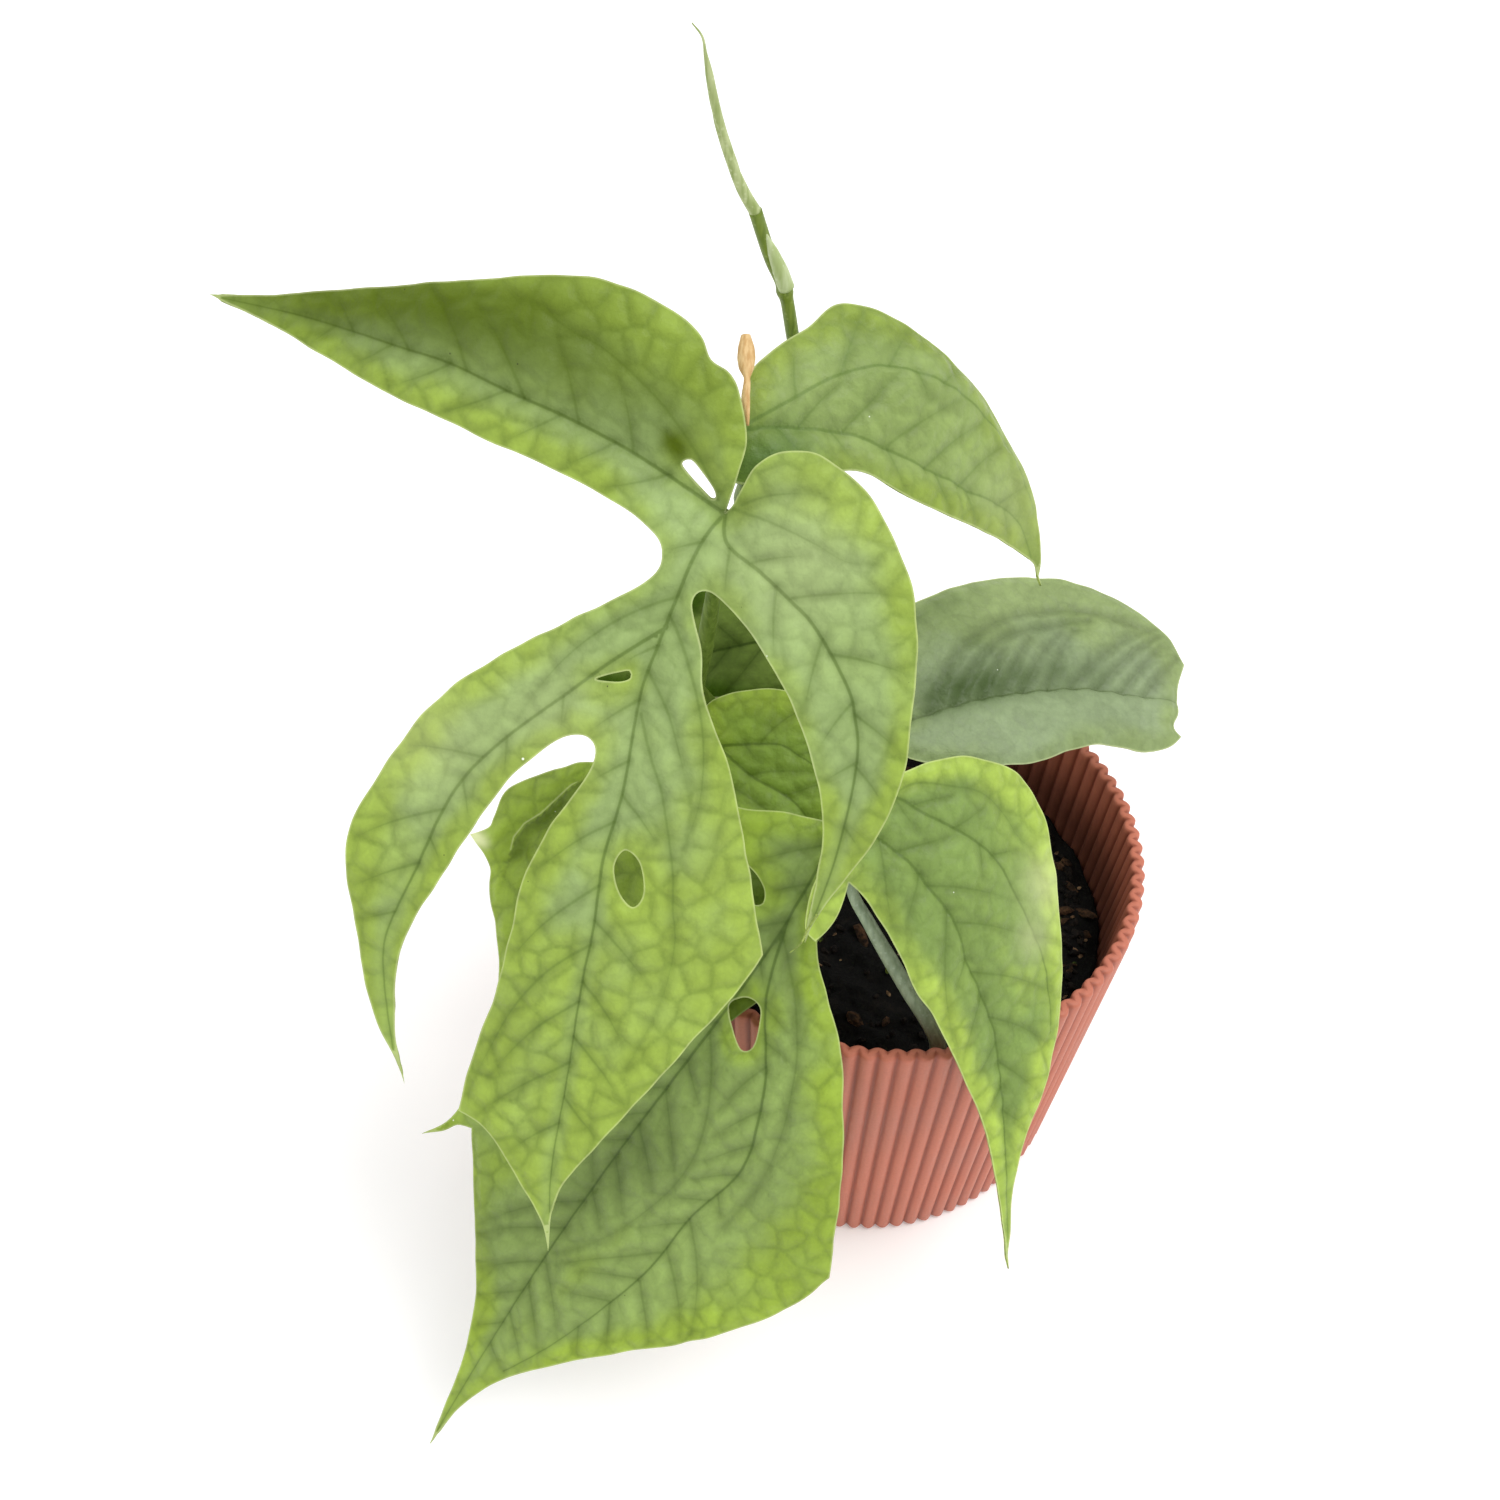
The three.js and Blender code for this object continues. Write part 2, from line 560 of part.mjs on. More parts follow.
function soilGeometry() {
  const floor = FLOOR + GAP;
  const edge = SOIL_TOP - SOIL_EDGE_DROP;
  const rim = soilRadius(edge);
  const profile = [[0, floor], [soilRadius(floor), floor], [rim, edge]];
  for (const share of SOIL_RINGS) {
    profile.push([rim * share, SOIL_TOP - SOIL_EDGE_DROP * share ** 6]);
  }
  const body = new THREE.LatheGeometry(profile.map(([r, z]) => new THREE.Vector2(r, z)), SOIL_SIDES)
    .rotateX(Math.PI / 2);
  const position = body.attributes.position;
  for (let i = 0; i < position.count; i += 1) {
    const [x, y, z] = [position.getX(i), position.getY(i), position.getZ(i)];
    if (z > edge + 0.01) {
      position.setZ(i, z + lumps(x, y));
    }
  }
  let solid = toManifold(body);
  const random = randomStream(CHIP_SEED);
  const feet = [STEM_FOOT, FRONT_FOOT, BACK_FOOT];
  for (let i = 0; i < BARK_CHIPS; i += 1) {
    const angle = 2 * Math.PI * random();
    const radius = (rim - CHIP_MARGIN) * Math.sqrt(random());
    const [x, y] = [radius * Math.cos(angle), radius * Math.sin(angle)];
    const size = BARK_SIZE.map((side) => side * (0.7 + 0.6 * random()));
    const tilt = () => BARK_TILT * (random() - 0.5);
    const turn = new THREE.Euler(tilt(), tilt(), 2 * Math.PI * random());
    if (feet.every((foot) => Math.hypot(foot.x - x, foot.y - y) > CHIP_CLEARANCE)) {
      const place = new THREE.Matrix4().makeRotationFromEuler(turn).setPosition(x, y, SOIL_TOP + lumps(x, y));
      solid = solid.add(toManifold(moved(new THREE.BoxGeometry(...size), place)));
    }
  }
  for (const foot of feet) {
    const radius = foot.radius + STEM_HOLE_PLAY;
    const hole = new THREE.CylinderGeometry(radius, radius, 2 * STEM_HOLE_DEPTH, HOLE_SIDES)
      .rotateX(Math.PI / 2)
      .translate(foot.x, foot.y, SOIL_TOP);
    solid = solid.subtract(toManifold(hole));
  }
  return toGeometry(solid);
}

function namedMesh(name, geometry, material) {
  const mesh = new THREE.Mesh(geometry, material);
  mesh.name = name;
  return mesh;
}

// The plant, built from the stem outwards

const plant = new THREE.Group();
plant.add(namedMesh("stem", toGeometry(stem), FINISHES.stem));
const leaves = LEAVES.map(leafMesh);
plant.add(...leaves);

const newLeafTube = toManifold(taperedTube(NEW_LEAF_PATH, NEW_LEAF_RADII, 3));
plant.add(namedMesh("new_leaf_rolled", toGeometry(newLeafTube.subtract(stemClearance)), FINISHES.newLeaf));

const sheathTube = toManifold(taperedTube(SHEATH_PATH, SHEATH_RADII, 2));
plant.add(namedMesh("sheath_new", toGeometry(sheathTube.subtract(stemClearance)), FINISHES.newLeaf));

const driedTube = toManifold(taperedTube(DRIED_PATH, DRIED_RADII, 1.6));
plant.add(namedMesh("sheath_dried", toGeometry(driedTube), FINISHES.dried));

const part = new THREE.Group();
part.add(namedMesh("pot", potGeometry(), FINISHES.pot));
part.add(namedMesh("soil", soilGeometry(), FINISHES.soil));
part.add(plant);

export default part;
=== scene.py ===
"""Looks of a potted silver amydrium: fluted pot, soil, climbing stem, lobed leaves and growing tip.

Lengths in the data are millimetres and are turned into metres when a mesh is placed.
"""

import logging
import math
import random
from dataclasses import dataclass, field
from enum import Enum
from typing import Callable, Iterable

import bmesh
import bpy
from mathutils import Euler, Matrix, Vector, geometry, kdtree, noise


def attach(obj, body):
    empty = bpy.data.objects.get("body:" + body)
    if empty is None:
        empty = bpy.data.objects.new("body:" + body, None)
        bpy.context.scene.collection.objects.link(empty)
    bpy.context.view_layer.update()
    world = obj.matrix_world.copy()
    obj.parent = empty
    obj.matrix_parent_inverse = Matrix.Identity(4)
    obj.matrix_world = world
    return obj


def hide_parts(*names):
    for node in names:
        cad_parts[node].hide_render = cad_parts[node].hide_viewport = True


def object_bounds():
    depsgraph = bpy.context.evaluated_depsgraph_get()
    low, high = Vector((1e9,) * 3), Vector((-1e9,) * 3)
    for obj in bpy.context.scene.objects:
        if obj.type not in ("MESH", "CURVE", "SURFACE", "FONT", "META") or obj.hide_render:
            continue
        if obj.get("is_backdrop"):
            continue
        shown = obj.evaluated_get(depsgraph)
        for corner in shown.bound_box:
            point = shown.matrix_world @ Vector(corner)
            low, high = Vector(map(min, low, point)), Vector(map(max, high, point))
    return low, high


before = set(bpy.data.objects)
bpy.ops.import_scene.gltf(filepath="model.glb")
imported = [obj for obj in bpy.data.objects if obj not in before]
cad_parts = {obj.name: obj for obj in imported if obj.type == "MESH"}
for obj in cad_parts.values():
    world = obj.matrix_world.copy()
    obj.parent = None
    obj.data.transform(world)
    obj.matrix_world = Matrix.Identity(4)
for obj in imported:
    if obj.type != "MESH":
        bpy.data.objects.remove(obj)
CAD_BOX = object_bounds()

log = logging.getLogger("amydrium")

Point2 = tuple[float, float]
Point3 = tuple[float, float, float]
Colour = tuple[int, int, int]

MM = 0.001
CURVE_SAMPLES = 24
SEARCH_STEP = 0.2
FARTHEST = 9.0

# Usual range of a cloudy pattern, and the full circle of a random heading
CLOUD_RANGE = (0.3, 0.7)
TURN = 6.3


# Curves and distances


def bent_span(start: Vector, end: Vector, leave: Vector, arrive: Vector, count: int) -> list[Vector]:
    """Samples a smooth curve between two points.

    Args:
        start: First point, which is left out of the samples.
        end: Last point.
        leave: Direction and pace at the first point.
        arrive: Direction and pace at the last point.
        count: Number of samples.

    Returns:
        The samples.
    """
    line = []
    for k in range(1, count + 1):
        t = k / count
        bend = (2 * start - 2 * end + leave + arrive) * t**3
        line.append(bend + (3 * end - 3 * start - 2 * leave - arrive) * t**2 + leave * t + start)
    return line


def smooth_run(points: Iterable[Point2], step: float, closed: bool = False) -> list[Vector]:
    """Samples a smooth curve through points.

    Args:
        points: Points that the curve passes through, ends included.
        step: Greatest distance between samples.
        closed: Whether the curve runs on to its first point, smoothly.

    Returns:
        The samples, from the first point to the last, or to the first again.
    """
    spots = [Vector(point) for point in points]
    before, after = spots[0], spots[-1]
    if closed:
        before, after = spots[-1], spots[1]
        spots.append(spots[0])
    padded = [before, *spots, after]
    line = [spots[0]]
    for before, start, end, after in zip(padded, padded[1:], padded[2:], padded[3:]):
        count = max(1, math.ceil((end - start).length / step))
        line += bent_span(start, end, (end - before) / 2, (after - start) / 2, count)
    return line


def centripetal_curve(points: Iterable[Point3]) -> list[Vector]:
    """Samples a centripetal curve through points in space.

    Args:
        points: Points that the curve passes through.

    Returns:
        The samples, from the first point to the last.
    """
    spots = [Vector(point) for point in points]
    padded = [2 * spots[0] - spots[1], *spots, 2 * spots[-1] - spots[-2]]
    line = [spots[0]]
    for before, start, end, after in zip(padded, padded[1:], padded[2:], padded[3:]):
        gaps = [math.sqrt((b - a).length) for a, b in ((before, start), (start, end), (end, after))]
        leave = (start - before) / gaps[0] - (end - before) / (gaps[0] + gaps[1]) + (end - start) / gaps[1]
        arrive = (end - start) / gaps[1] - (after - start) / (gaps[1] + gaps[2]) + (after - end) / gaps[2]
        line += bent_span(start, end, leave * gaps[1], arrive * gaps[1], CURVE_SAMPLES)
    return line


def resample(line: list[Vector], step: float) -> list[Vector]:
    """Spaces points evenly along a line.

    Args:
        line: A line of points.
        step: Greatest distance between the new points.

    Returns:
        Evenly spaced points, with the line's own ends.
    """
    lengths = [0.0]
    for a, b in zip(line, line[1:]):
        lengths.append(lengths[-1] + (b - a).length)
    count = max(2, math.ceil(lengths[-1] / step))
    even, k = [], 0
    for i in range(count + 1):
        goal = lengths[-1] * i / count
        while k < len(line) - 2 and lengths[k + 1] < goal:
            k += 1
        span = lengths[k + 1] - lengths[k]
        even.append(line[k].lerp(line[k + 1], min(1.0, (goal - lengths[k]) / span if span else 0.0)))
    return even


def distance_tree(points: Iterable[Vector]) -> kdtree.KDTree:
    """Makes a search tree of points, for distances to the lines that they sample."""
    spots = [Vector((point.x, point.y, 0)) for point in points]
    tree = kdtree.KDTree(len(spots))
    for i, spot in enumerate(spots):
        tree.insert(spot, i)
    tree.balance()
    return tree


def dense(lines: Iterable[list[Vector]]) -> list[Vector]:
    """Samples lines closely, so that the nearest sample gives the distance to the line."""
    return [point for line in lines for point in resample(line, SEARCH_STEP)]


@dataclass
class Veins:
    """Veins of one order, which grow finer from their start to their end."""

    lines: list[list[Vector]]
    taper: float

    def __post_init__(self) -> None:
        """Samples the veins for searches."""
        sampled = [resample(line, SEARCH_STEP) for line in self.lines if len(line) > 1]
        self.shares = [i / (len(line) - 1) for line in sampled for i in range(len(line))]
        self.tree = distance_tree(spot for line in sampled for spot in line)

    def distance(self, spot: Vector) -> float:
        """Distance to the nearest vein, up to a farthest one, and more beside a vein's fine end."""
        _, index, away = self.tree.find(spot)
        return FARTHEST if index is None else min(away + self.taper * self.shares[index] ** 2, FARTHEST)


def inside(point: Vector, loop: list[Vector]) -> bool:
    """Says whether a point lies inside a closed loop."""
    found = False
    last = loop[-1]
    for spot in loop:
        if (spot.y > point.y) != (last.y > point.y):
            crossing = (last.x - spot.x) * (point.y - spot.y) / (last.y - spot.y) + spot.x
            if point.x < crossing:
                found = not found
        last = spot
    return found


def ease(value: float, low: float, high: float) -> float:
    """Goes smoothly from 0 at low to 1 at high, whichever of them is greater."""
    share = min(1.0, max(0.0, (value - low) / (high - low)))
    return share * share * (3 - 2 * share)


# Rings of edges, swept tubes and pieces


def edges_of(verts: Iterable[bmesh.types.BMVert]) -> list[bmesh.types.BMEdge]:
    """Lists the edges that meet any of some corners."""
    return list({edge for vert in verts for edge in vert.link_edges})


def next_ring(bm: bmesh.types.BMesh, edges: list[bmesh.types.BMEdge]) -> tuple[list, list]:
    """Extrudes a loop of edges, without moving it yet.

    Args:
        bm: Mesh of the loop.
        edges: The loop.

    Returns:
        The corners and the edges of the new loop.
    """
    made = bmesh.ops.extrude_edge_only(bm, edges=edges)["geom"]
    corners = [item for item in made if isinstance(item, bmesh.types.BMVert)]
    members = set(corners)
    sides = [item for item in made if isinstance(item, bmesh.types.BMEdge)]
    return corners, [side for side in sides if members.issuperset(side.verts)]


def sweep(bm: bmesh.types.BMesh, line: list[Vector], radius_at: Callable[[float], float], sides: int) -> None:
    """Sweeps a circle along a line into a closed tube.

    Args:
        bm: Mesh that the tube is added to.
        line: Centre of the tube, in millimetres.
        radius_at: Radius at a share of the line's length, from 0 to 1.
        sides: Corners of the circle.
    """
    normal = (line[1] - line[0]).orthogonal().normalized()
    placed = None
    first = edges = []
    for i, centre in enumerate(line):
        ahead = (line[min(i + 1, len(line) - 1)] - line[max(i - 1, 0)]).normalized()
        normal = (normal - ahead * normal.dot(ahead)).normalized()
        radius = radius_at(i / (len(line) - 1))
        turn = Matrix((normal, ahead.cross(normal), ahead)).transposed().to_4x4()
        place = Matrix.Translation(centre) @ turn @ Matrix.Scale(radius, 4)
        if placed is None:
            ring = bmesh.ops.create_circle(bm, segments=sides, radius=1, matrix=place)["verts"]
            first = edges = edges_of(ring)
        else:
            ring, edges = next_ring(bm, edges)
            bmesh.ops.transform(bm, matrix=place @ placed.inverted(), verts=ring)
        placed = place
    bmesh.ops.edgeloop_fill(bm, edges=first)
    bmesh.ops.edgeloop_fill(bm, edges=edges)


def radius_steps(radii: Iterable[float]) -> Callable[[float], float]:
    """Makes a radius that runs straight between evenly spaced radii."""
    steps = list(radii)

    def radius_at(share: float) -> float:
        """Radius at a share of the length."""
        along = share * (len(steps) - 1)
        low = min(int(along), len(steps) - 2)
        return steps[low] + (steps[low + 1] - steps[low]) * (along - low)

    return radius_at


def in_scene(name: str, data: bpy.types.ID) -> bpy.types.Object:
    """Makes an object of a mesh, lamp or camera and links it to the scene."""
    item = bpy.data.objects.new(name, data)
    bpy.context.scene.collection.objects.link(item)
    return item


def finished_piece(bm: bmesh.types.BMesh, name: str, place: Matrix, materials: list, outward: bool = True):
    """Turns a mesh under construction into a placed, smooth-shaded piece.

    Args:
        bm: The mesh in millimetres, which is used up.
        name: Name of the piece.
        place: Matrix from the mesh to the row frame, in millimetres.
        materials: The piece's materials, in the order of its slots.
        outward: Whether the faces still have to be turned outwards.

    Returns:
        The new object, at the origin.
    """
    if outward:
        bmesh.ops.recalc_face_normals(bm, faces=bm.faces)
    bmesh.ops.transform(bm, matrix=Matrix.Scale(MM, 4) @ place, verts=bm.verts)
    for face in bm.faces:
        face.smooth = True
    mesh = bpy.data.meshes.new(name)
    bm.to_mesh(mesh)
    bm.free()
    for material in materials:
        mesh.materials.append(material)
    piece = in_scene(name, mesh)
    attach(piece, "root")
    return piece


# Materials


def linear(colour: Colour) -> tuple[float, float, float, float]:
    """Turns a display colour of 0 to 255 into the linear colour of a socket."""
    shares = (value / 255 for value in colour)
    return (*(s / 12.92 if s <= 0.04045 else ((s + 0.055) / 1.055) ** 2.4 for s in shares), 1.0)


class Place(Enum):
    """What a pattern's coordinates follow."""

    OBJECT = "object"
    LEAF = "flat"


class Shader:
    """A material whose nodes are being wired up."""

    def __init__(self, name: str, roughness: float, specular: float) -> None:
        """Starts a material with one surface shader.

        Args:
            name: Name of the material.
            roughness: Roughness of the surface.
            specular: Specular level of the surface.
        """
        self.material = bpy.data.materials.new(name)
        self.material.use_nodes = True
        self.tree = self.material.node_tree
        self.tree.nodes.clear()
        output = self.tree.nodes.new("ShaderNodeOutputMaterial")
        self.surface = self.tree.nodes.new("ShaderNodeBsdfPrincipled")
        self.surface.inputs["Roughness"].default_value = roughness
        self.surface.inputs["Specular IOR Level"].default_value = specular
        self.tree.links.new(self.surface.outputs["BSDF"], output.inputs["Surface"])

    def feed(self, socket, value) -> None:
        """Links a socket to a value, or sets it.

        Args:
            socket: The input socket.
            value: An output socket, a number or a colour.
        """
        if isinstance(value, bpy.types.NodeSocket):
            self.tree.links.new(value, socket)
        else:
            socket.default_value = value

    def place(self, kind: Place):
        """Coordinates of a pattern."""
        if kind is Place.OBJECT:
            return self.tree.nodes.new("ShaderNodeTexCoord").outputs["Object"]
        return self.attribute(kind.value, "Vector")

    def attribute(self, name: str, output: str = "Fac"):
        """Reads an attribute of the piece."""
        node = self.tree.nodes.new("ShaderNodeAttribute")
        node.attribute_name = name
        return node.outputs[output]

    def stretch(self, place, scale: Point3):
        """Scales coordinates differently along each axis."""
        node = self.tree.nodes.new("ShaderNodeMapping")
        self.feed(node.inputs["Vector"], place)
        node.inputs["Scale"].default_value = scale
        return node.outputs["Vector"]

    def cloud(self, place, scale: float, detail: float = 3, warp: float = 0):
        """A soft cloudy pattern.

        Args:
            place: Coordinates.
            scale: Features per unit of the coordinates.
            detail: Octaves of finer pattern.
            warp: Distortion.

        Returns:
            The pattern's output socket, about 0.5 on average.
        """
        node = self.tree.nodes.new("ShaderNodeTexNoise")
        self.feed(node.inputs["Vector"], place)
        node.inputs["Scale"].default_value = scale
        node.inputs["Detail"].default_value = detail
        node.inputs["Distortion"].default_value = warp
        return node.outputs["Fac"]

    def cells(self, place, scale: float, feature: str = "F1"):
        """Distance to the nearest middle, or to the nearest border, in a pattern of cells."""
        node = self.tree.nodes.new("ShaderNodeTexVoronoi")
        node.feature = feature
        self.feed(node.inputs["Vector"], place)
        node.inputs["Scale"].default_value = scale
        return node.outputs["Distance"]

    def span(self, value, low: float, high: float, to_low: float = 0, to_high: float = 1):
        """Maps a range of a value smoothly onto another range."""
        node = self.tree.nodes.new("ShaderNodeMapRange")
        node.interpolation_type = "SMOOTHSTEP"
        self.feed(node.inputs["Value"], value)
        for name, number in zip(("From Min", "From Max", "To Min", "To Max"), (low, high, to_low, to_high)):
            node.inputs[name].default_value = number
        return node.outputs["Result"]

    def maths(self, operation: str, first, second):
        """One step of arithmetic."""
        node = self.tree.nodes.new("ShaderNodeMath")
        node.operation = operation
        self.feed(node.inputs[0], first)
        self.feed(node.inputs[1], second)
        return node.outputs[0]

    def tint(self, colour, amount):
        """Multiplies a colour by an amount."""
        return self.mix(1.0, colour, amount, "MULTIPLY")

    def mix(self, share, first, second, blend: str = "MIX"):
        """Mixes two colours.

        Args:
            share: Share of the second colour, or its output socket.
            first: First colour or its output socket.
            second: Second colour or its output socket.
            blend: How the second colour acts on the first.

        Returns:
            The mixed colour's output socket.
        """
        node = self.tree.nodes.new("ShaderNodeMix")
        node.data_type = "RGBA"
        node.blend_type = blend
        self.feed(node.inputs["Factor"], share)
        self.feed(node.inputs[6], first)
        self.feed(node.inputs[7], second)
        return node.outputs[2]

    def bump(self, height, distance: float, normal=None):
        """Turns a height pattern into a bump of that distance in metres."""
        node = self.tree.nodes.new("ShaderNodeBump")
        node.inputs["Distance"].default_value = distance
        self.feed(node.inputs["Height"], height)
        if normal is not None:
            self.feed(node.inputs["Normal"], normal)
        return node.outputs["Normal"]

    def done(self, colour, normal=None, roughness=None) -> bpy.types.Material:
        """Connects the finished colour, bump and roughness.

        Args:
            colour: Colour's output socket.
            normal: Bump's output socket.
            roughness: Output socket of a roughness that varies.

        Returns:
            The material.
        """
        self.feed(self.surface.inputs["Base Color"], colour)
        if normal is not None:
            self.feed(self.surface.inputs["Normal"], normal)
        if roughness is not None:
            self.feed(self.surface.inputs["Roughness"], roughness)
        return self.material


# Distances from a vein, a net line or the margin, in millimetres: where a colour starts and where it is full
NET_LINE = (0.85, 0.05)
# Painted shade near the net and painted light on the puffed middles of the cells
NET_CUSHION_SHADING = (0.0, 2.4)
# Painted shade beside the side veins and painted light on the quilted panels between them
PANEL_SHADING = (0.1, 3.4)
SILVER_BESIDE = (3.6, 0.8)
SIDE_SOFT = (1.7, 0.2)
SIDE_SHARP = (0.55, 0.1)
MAIN_SOFT = (1.2, 0.2)
MAIN_SHARP = (0.55, 0.2)
PALE_MARGIN = (0.5, 0.15)

# Sizes of cell patterns and of the dots at their middles, where a dot starts and where it is full
FLECKS = (0.075, (0.024, 0.014))
SPECKS = (0.11, (0.026, 0.014))

# Depths of bumps in metres
NET_DEPTH = 0.0002
FINE_DEPTH = 0.00012
LEATHER = ((0.9, 4, 0.00018), (3.2, 3, 0.00005))


@dataclass(frozen=True)
class BladeFinish:
    """Upper face of a leaf: silvering yellow-green, darker veins, a pale margin, painted shade and
    highlights.
    """

    name: str
    ground: Colour
    silver: Colour
    vein: Colour
    # Colour of painted shade, for places that lie in shade
    painted_shade: Colour = (40, 58, 12)
    # Colour of the pale margin, the pale curled tip and painted highlights
    pale_and_highlight: Colour = (226, 232, 176)
    fleck: Colour = (236, 240, 224)
    speck: Colour = (52, 54, 30)
    net_contrast: float = 0.42
    panel_shading: float = 0.1
    vein_strength: float = 1.0
    roughness: float = 0.42
    specular: float = 0.22

    def material(self) -> bpy.types.Material:
        """Builds the material from the blade's vein, margin, silver, painted shade and pale-and-highlight
        attributes.
        """
        shader = Shader(self.name, self.roughness, self.specular)
        flat = shader.place(Place.LEAF)
        mottle = shader.cloud(flat, 0.34, detail=4, warp=0.6)
        fine = shader.cells(shader.stretch(flat, (1.0, 1.2, 1.0)), 0.42, "DISTANCE_TO_EDGE")
        colour = self.netted(shader, flat, mottle, fine)
        colour = self.painted_light_and_marks(shader, flat, self.veined(shader, colour))

        relief = shader.bump(shader.span(shader.attribute("net"), 0.0, 1.8), NET_DEPTH)
        relief = shader.bump(fine, FINE_DEPTH, relief)
        for scale, detail, depth in LEATHER:
            relief = shader.bump(shader.cloud(flat, scale, detail), depth, relief)
        rough = shader.span(mottle, *CLOUD_RANGE, self.roughness - 0.06, self.roughness + 0.08)
        return shader.done(colour, relief, rough)

    def netted(self, shader: Shader, flat, mottle, fine):
        """Colours the silvered ground, with painted light on the cells' puffed middles and painted shade at
        their edges.

        Args:
            shader: The material.
            flat: Coordinates in the blade's plane.
            mottle: Cloudy pattern of the ground.
            fine: Pattern of the smallest cells.

        Returns:
            The colour's output socket.
        """
        drift = shader.span(shader.cloud(flat, 0.05), *CLOUD_RANGE, -0.25, 0.25)
        silvered = shader.span(shader.maths("ADD", shader.attribute("silver"), drift), 0.05, 0.95)
        net, contrast = shader.attribute("net"), self.net_contrast
        colour = shader.mix(silvered, linear(self.ground), linear(self.silver))
        for amount in (
            shader.span(shader.attribute("cell_tone"), 0.0, 1.0, 0.93, 1.06),
            shader.span(mottle, *CLOUD_RANGE, 0.94, 1.06),
            # Painted shade beside the side veins, painted light on the panels between them
            shader.span(shader.attribute("side_vein"), *PANEL_SHADING, 1 - self.panel_shading, 1 + 0.6 * self.panel_shading),
        ):
            colour = shader.tint(colour, amount)
        faded = shader.span(silvered, 0.2, 1.0, 1.0, 0.55)
        # Painted light and shade of the puffed cells
        cushion_shading = shader.span(net, *NET_CUSHION_SHADING, 1 - 0.28 * contrast, 1 + 0.14 * contrast)
        colour = shader.mix(faded, colour, shader.tint(colour, cushion_shading))
        shown = shader.span(shader.cloud(flat, 0.09, detail=2), *CLOUD_RANGE, 0.35 * contrast, contrast)
        line = shader.maths("MULTIPLY", shader.maths("MULTIPLY", shader.span(net, *NET_LINE), shown), faded)
        colour = shader.mix(line, colour, linear(self.vein))
        return shader.tint(colour, shader.span(fine, 0.0, 0.22, 0.97, 1.01))

    def veined(self, shader: Shader, colour):
        """Adds a silvery zone beside the main veins, then the dark grooves of all veins."""
        main, side = shader.attribute("main_vein"), shader.attribute("side_vein")
        beside = shader.maths("MULTIPLY", shader.span(main, *SILVER_BESIDE), 0.35)
        colour = shader.mix(beside, colour, linear(self.silver))
        grooves = (
            (side, SIDE_SOFT, 0.2 * self.vein_strength),
            (side, SIDE_SHARP, 0.35 * self.vein_strength),
            (main, MAIN_SOFT, 0.18),
            (main, MAIN_SHARP, 0.6),
        )
        for distance, width, strength in grooves:
            groove = shader.span(distance, *width, 0, strength)
            colour = shader.mix(groove, colour, linear(self.vein))
        return colour

    def painted_light_and_marks(self, shader: Shader, flat, colour):
        """Adds painted shade, pale places that are mostly painted highlights, a thin pale margin, flecks and
        specks.
        """
        (fleck_size, fleck_dot), (speck_size, speck_dot) = FLECKS, SPECKS
        grains = shader.cells(shader.stretch(flat, (1.0, 1.3, 1.0)), speck_size)
        layers = (
            # Painted shade, then pale places: painted highlights, and one real pale tip
            (shader.attribute("painted_shade"), self.painted_shade),
            (shader.attribute("pale_and_highlight"), self.pale_and_highlight),
            (shader.span(shader.attribute("margin"), *PALE_MARGIN, 0, 0.28), self.pale_and_highlight),
            (shader.span(shader.cells(flat, fleck_size), *fleck_dot), self.fleck),
            (shader.span(grains, *speck_dot, 0, 0.8), self.speck),
        )
        for share, target in layers:
            colour = shader.mix(share, colour, linear(target))
        return colour


@dataclass(frozen=True)
class UndersideFinish:
    """Lower face of a leaf: pale and matte, with raised veins that stand lighter."""

    name: str
    ground: Colour = (150, 172, 122)
    vein: Colour = (176, 196, 142)

    def material(self) -> bpy.types.Material:
        """Builds the material from the blade's vein attributes."""
        shader = Shader(self.name, 0.62, 0.25)
        flat = shader.place(Place.LEAF)
        mottle = shader.cloud(flat, 0.3, detail=4)
        colour = shader.mix(shader.span(mottle, 0.25, 0.75, 0, 0.35), linear(self.ground), linear(self.vein))
        raised = (("net", 0.7, 0.0, 0.3), ("side_vein", 0.8, 0.1, 0.6), ("main_vein", 1.3, 0.3, 0.9))
        for name, widest, core, strength in raised:
            ridge = shader.span(shader.attribute(name), widest, core, 0, strength)
            colour = shader.mix(ridge, colour, linear(self.vein))
        return shader.done(colour, shader.bump(shader.cloud(flat, 1.8, 3), 0.0001))


@dataclass(frozen=True)
class StalkFinish:
    """Skin of a stem, petiole or rolled leaf: fine lengthwise streaks and small freckles."""

    name: str
    light: Colour
    dark: Colour
    freckle: Colour
    streak: float = 900.0
    roughness: float = 0.45
    specular: float = 0.3

    def material(self) -> bpy.types.Material:
        """Builds the material on the object's own coordinates."""
        shader = Shader(self.name, self.roughness, self.specular)
        spot = shader.place(Place.OBJECT)
        streaks = shader.cloud(shader.stretch(spot, (1.0, 1.0, 0.12)), self.streak)
        patches = shader.cloud(spot, 90, detail=4)
        colour = shader.mix(shader.span(streaks, *CLOUD_RANGE), linear(self.light), linear(self.dark))
        colour = shader.mix(shader.span(patches, 0.35, 0.75, 0, 0.5), colour, linear(self.dark))
        freckles = shader.span(shader.cells(spot, 700), 0.28, 0.16, 0, 0.4)
        colour = shader.mix(freckles, colour, linear(self.freckle))
        relief = shader.bump(streaks, 0.00012)
        return shader.done(colour, shader.bump(shader.cloud(spot, 1500, detail=2), 0.00004, relief))


GREEN_STALK = StalkFinish("petiole_skin", (126, 146, 74), (92, 112, 50), (150, 162, 110))
OLIVE_STALK = StalkFinish(
    "petiole_skin_olive", (104, 124, 50), (80, 100, 32), (122, 138, 70), roughness=0.65, specular=0.1
)
PALE_STALK = StalkFinish("petiole_skin_pale", (168, 182, 152), (134, 150, 122), (184, 194, 170))


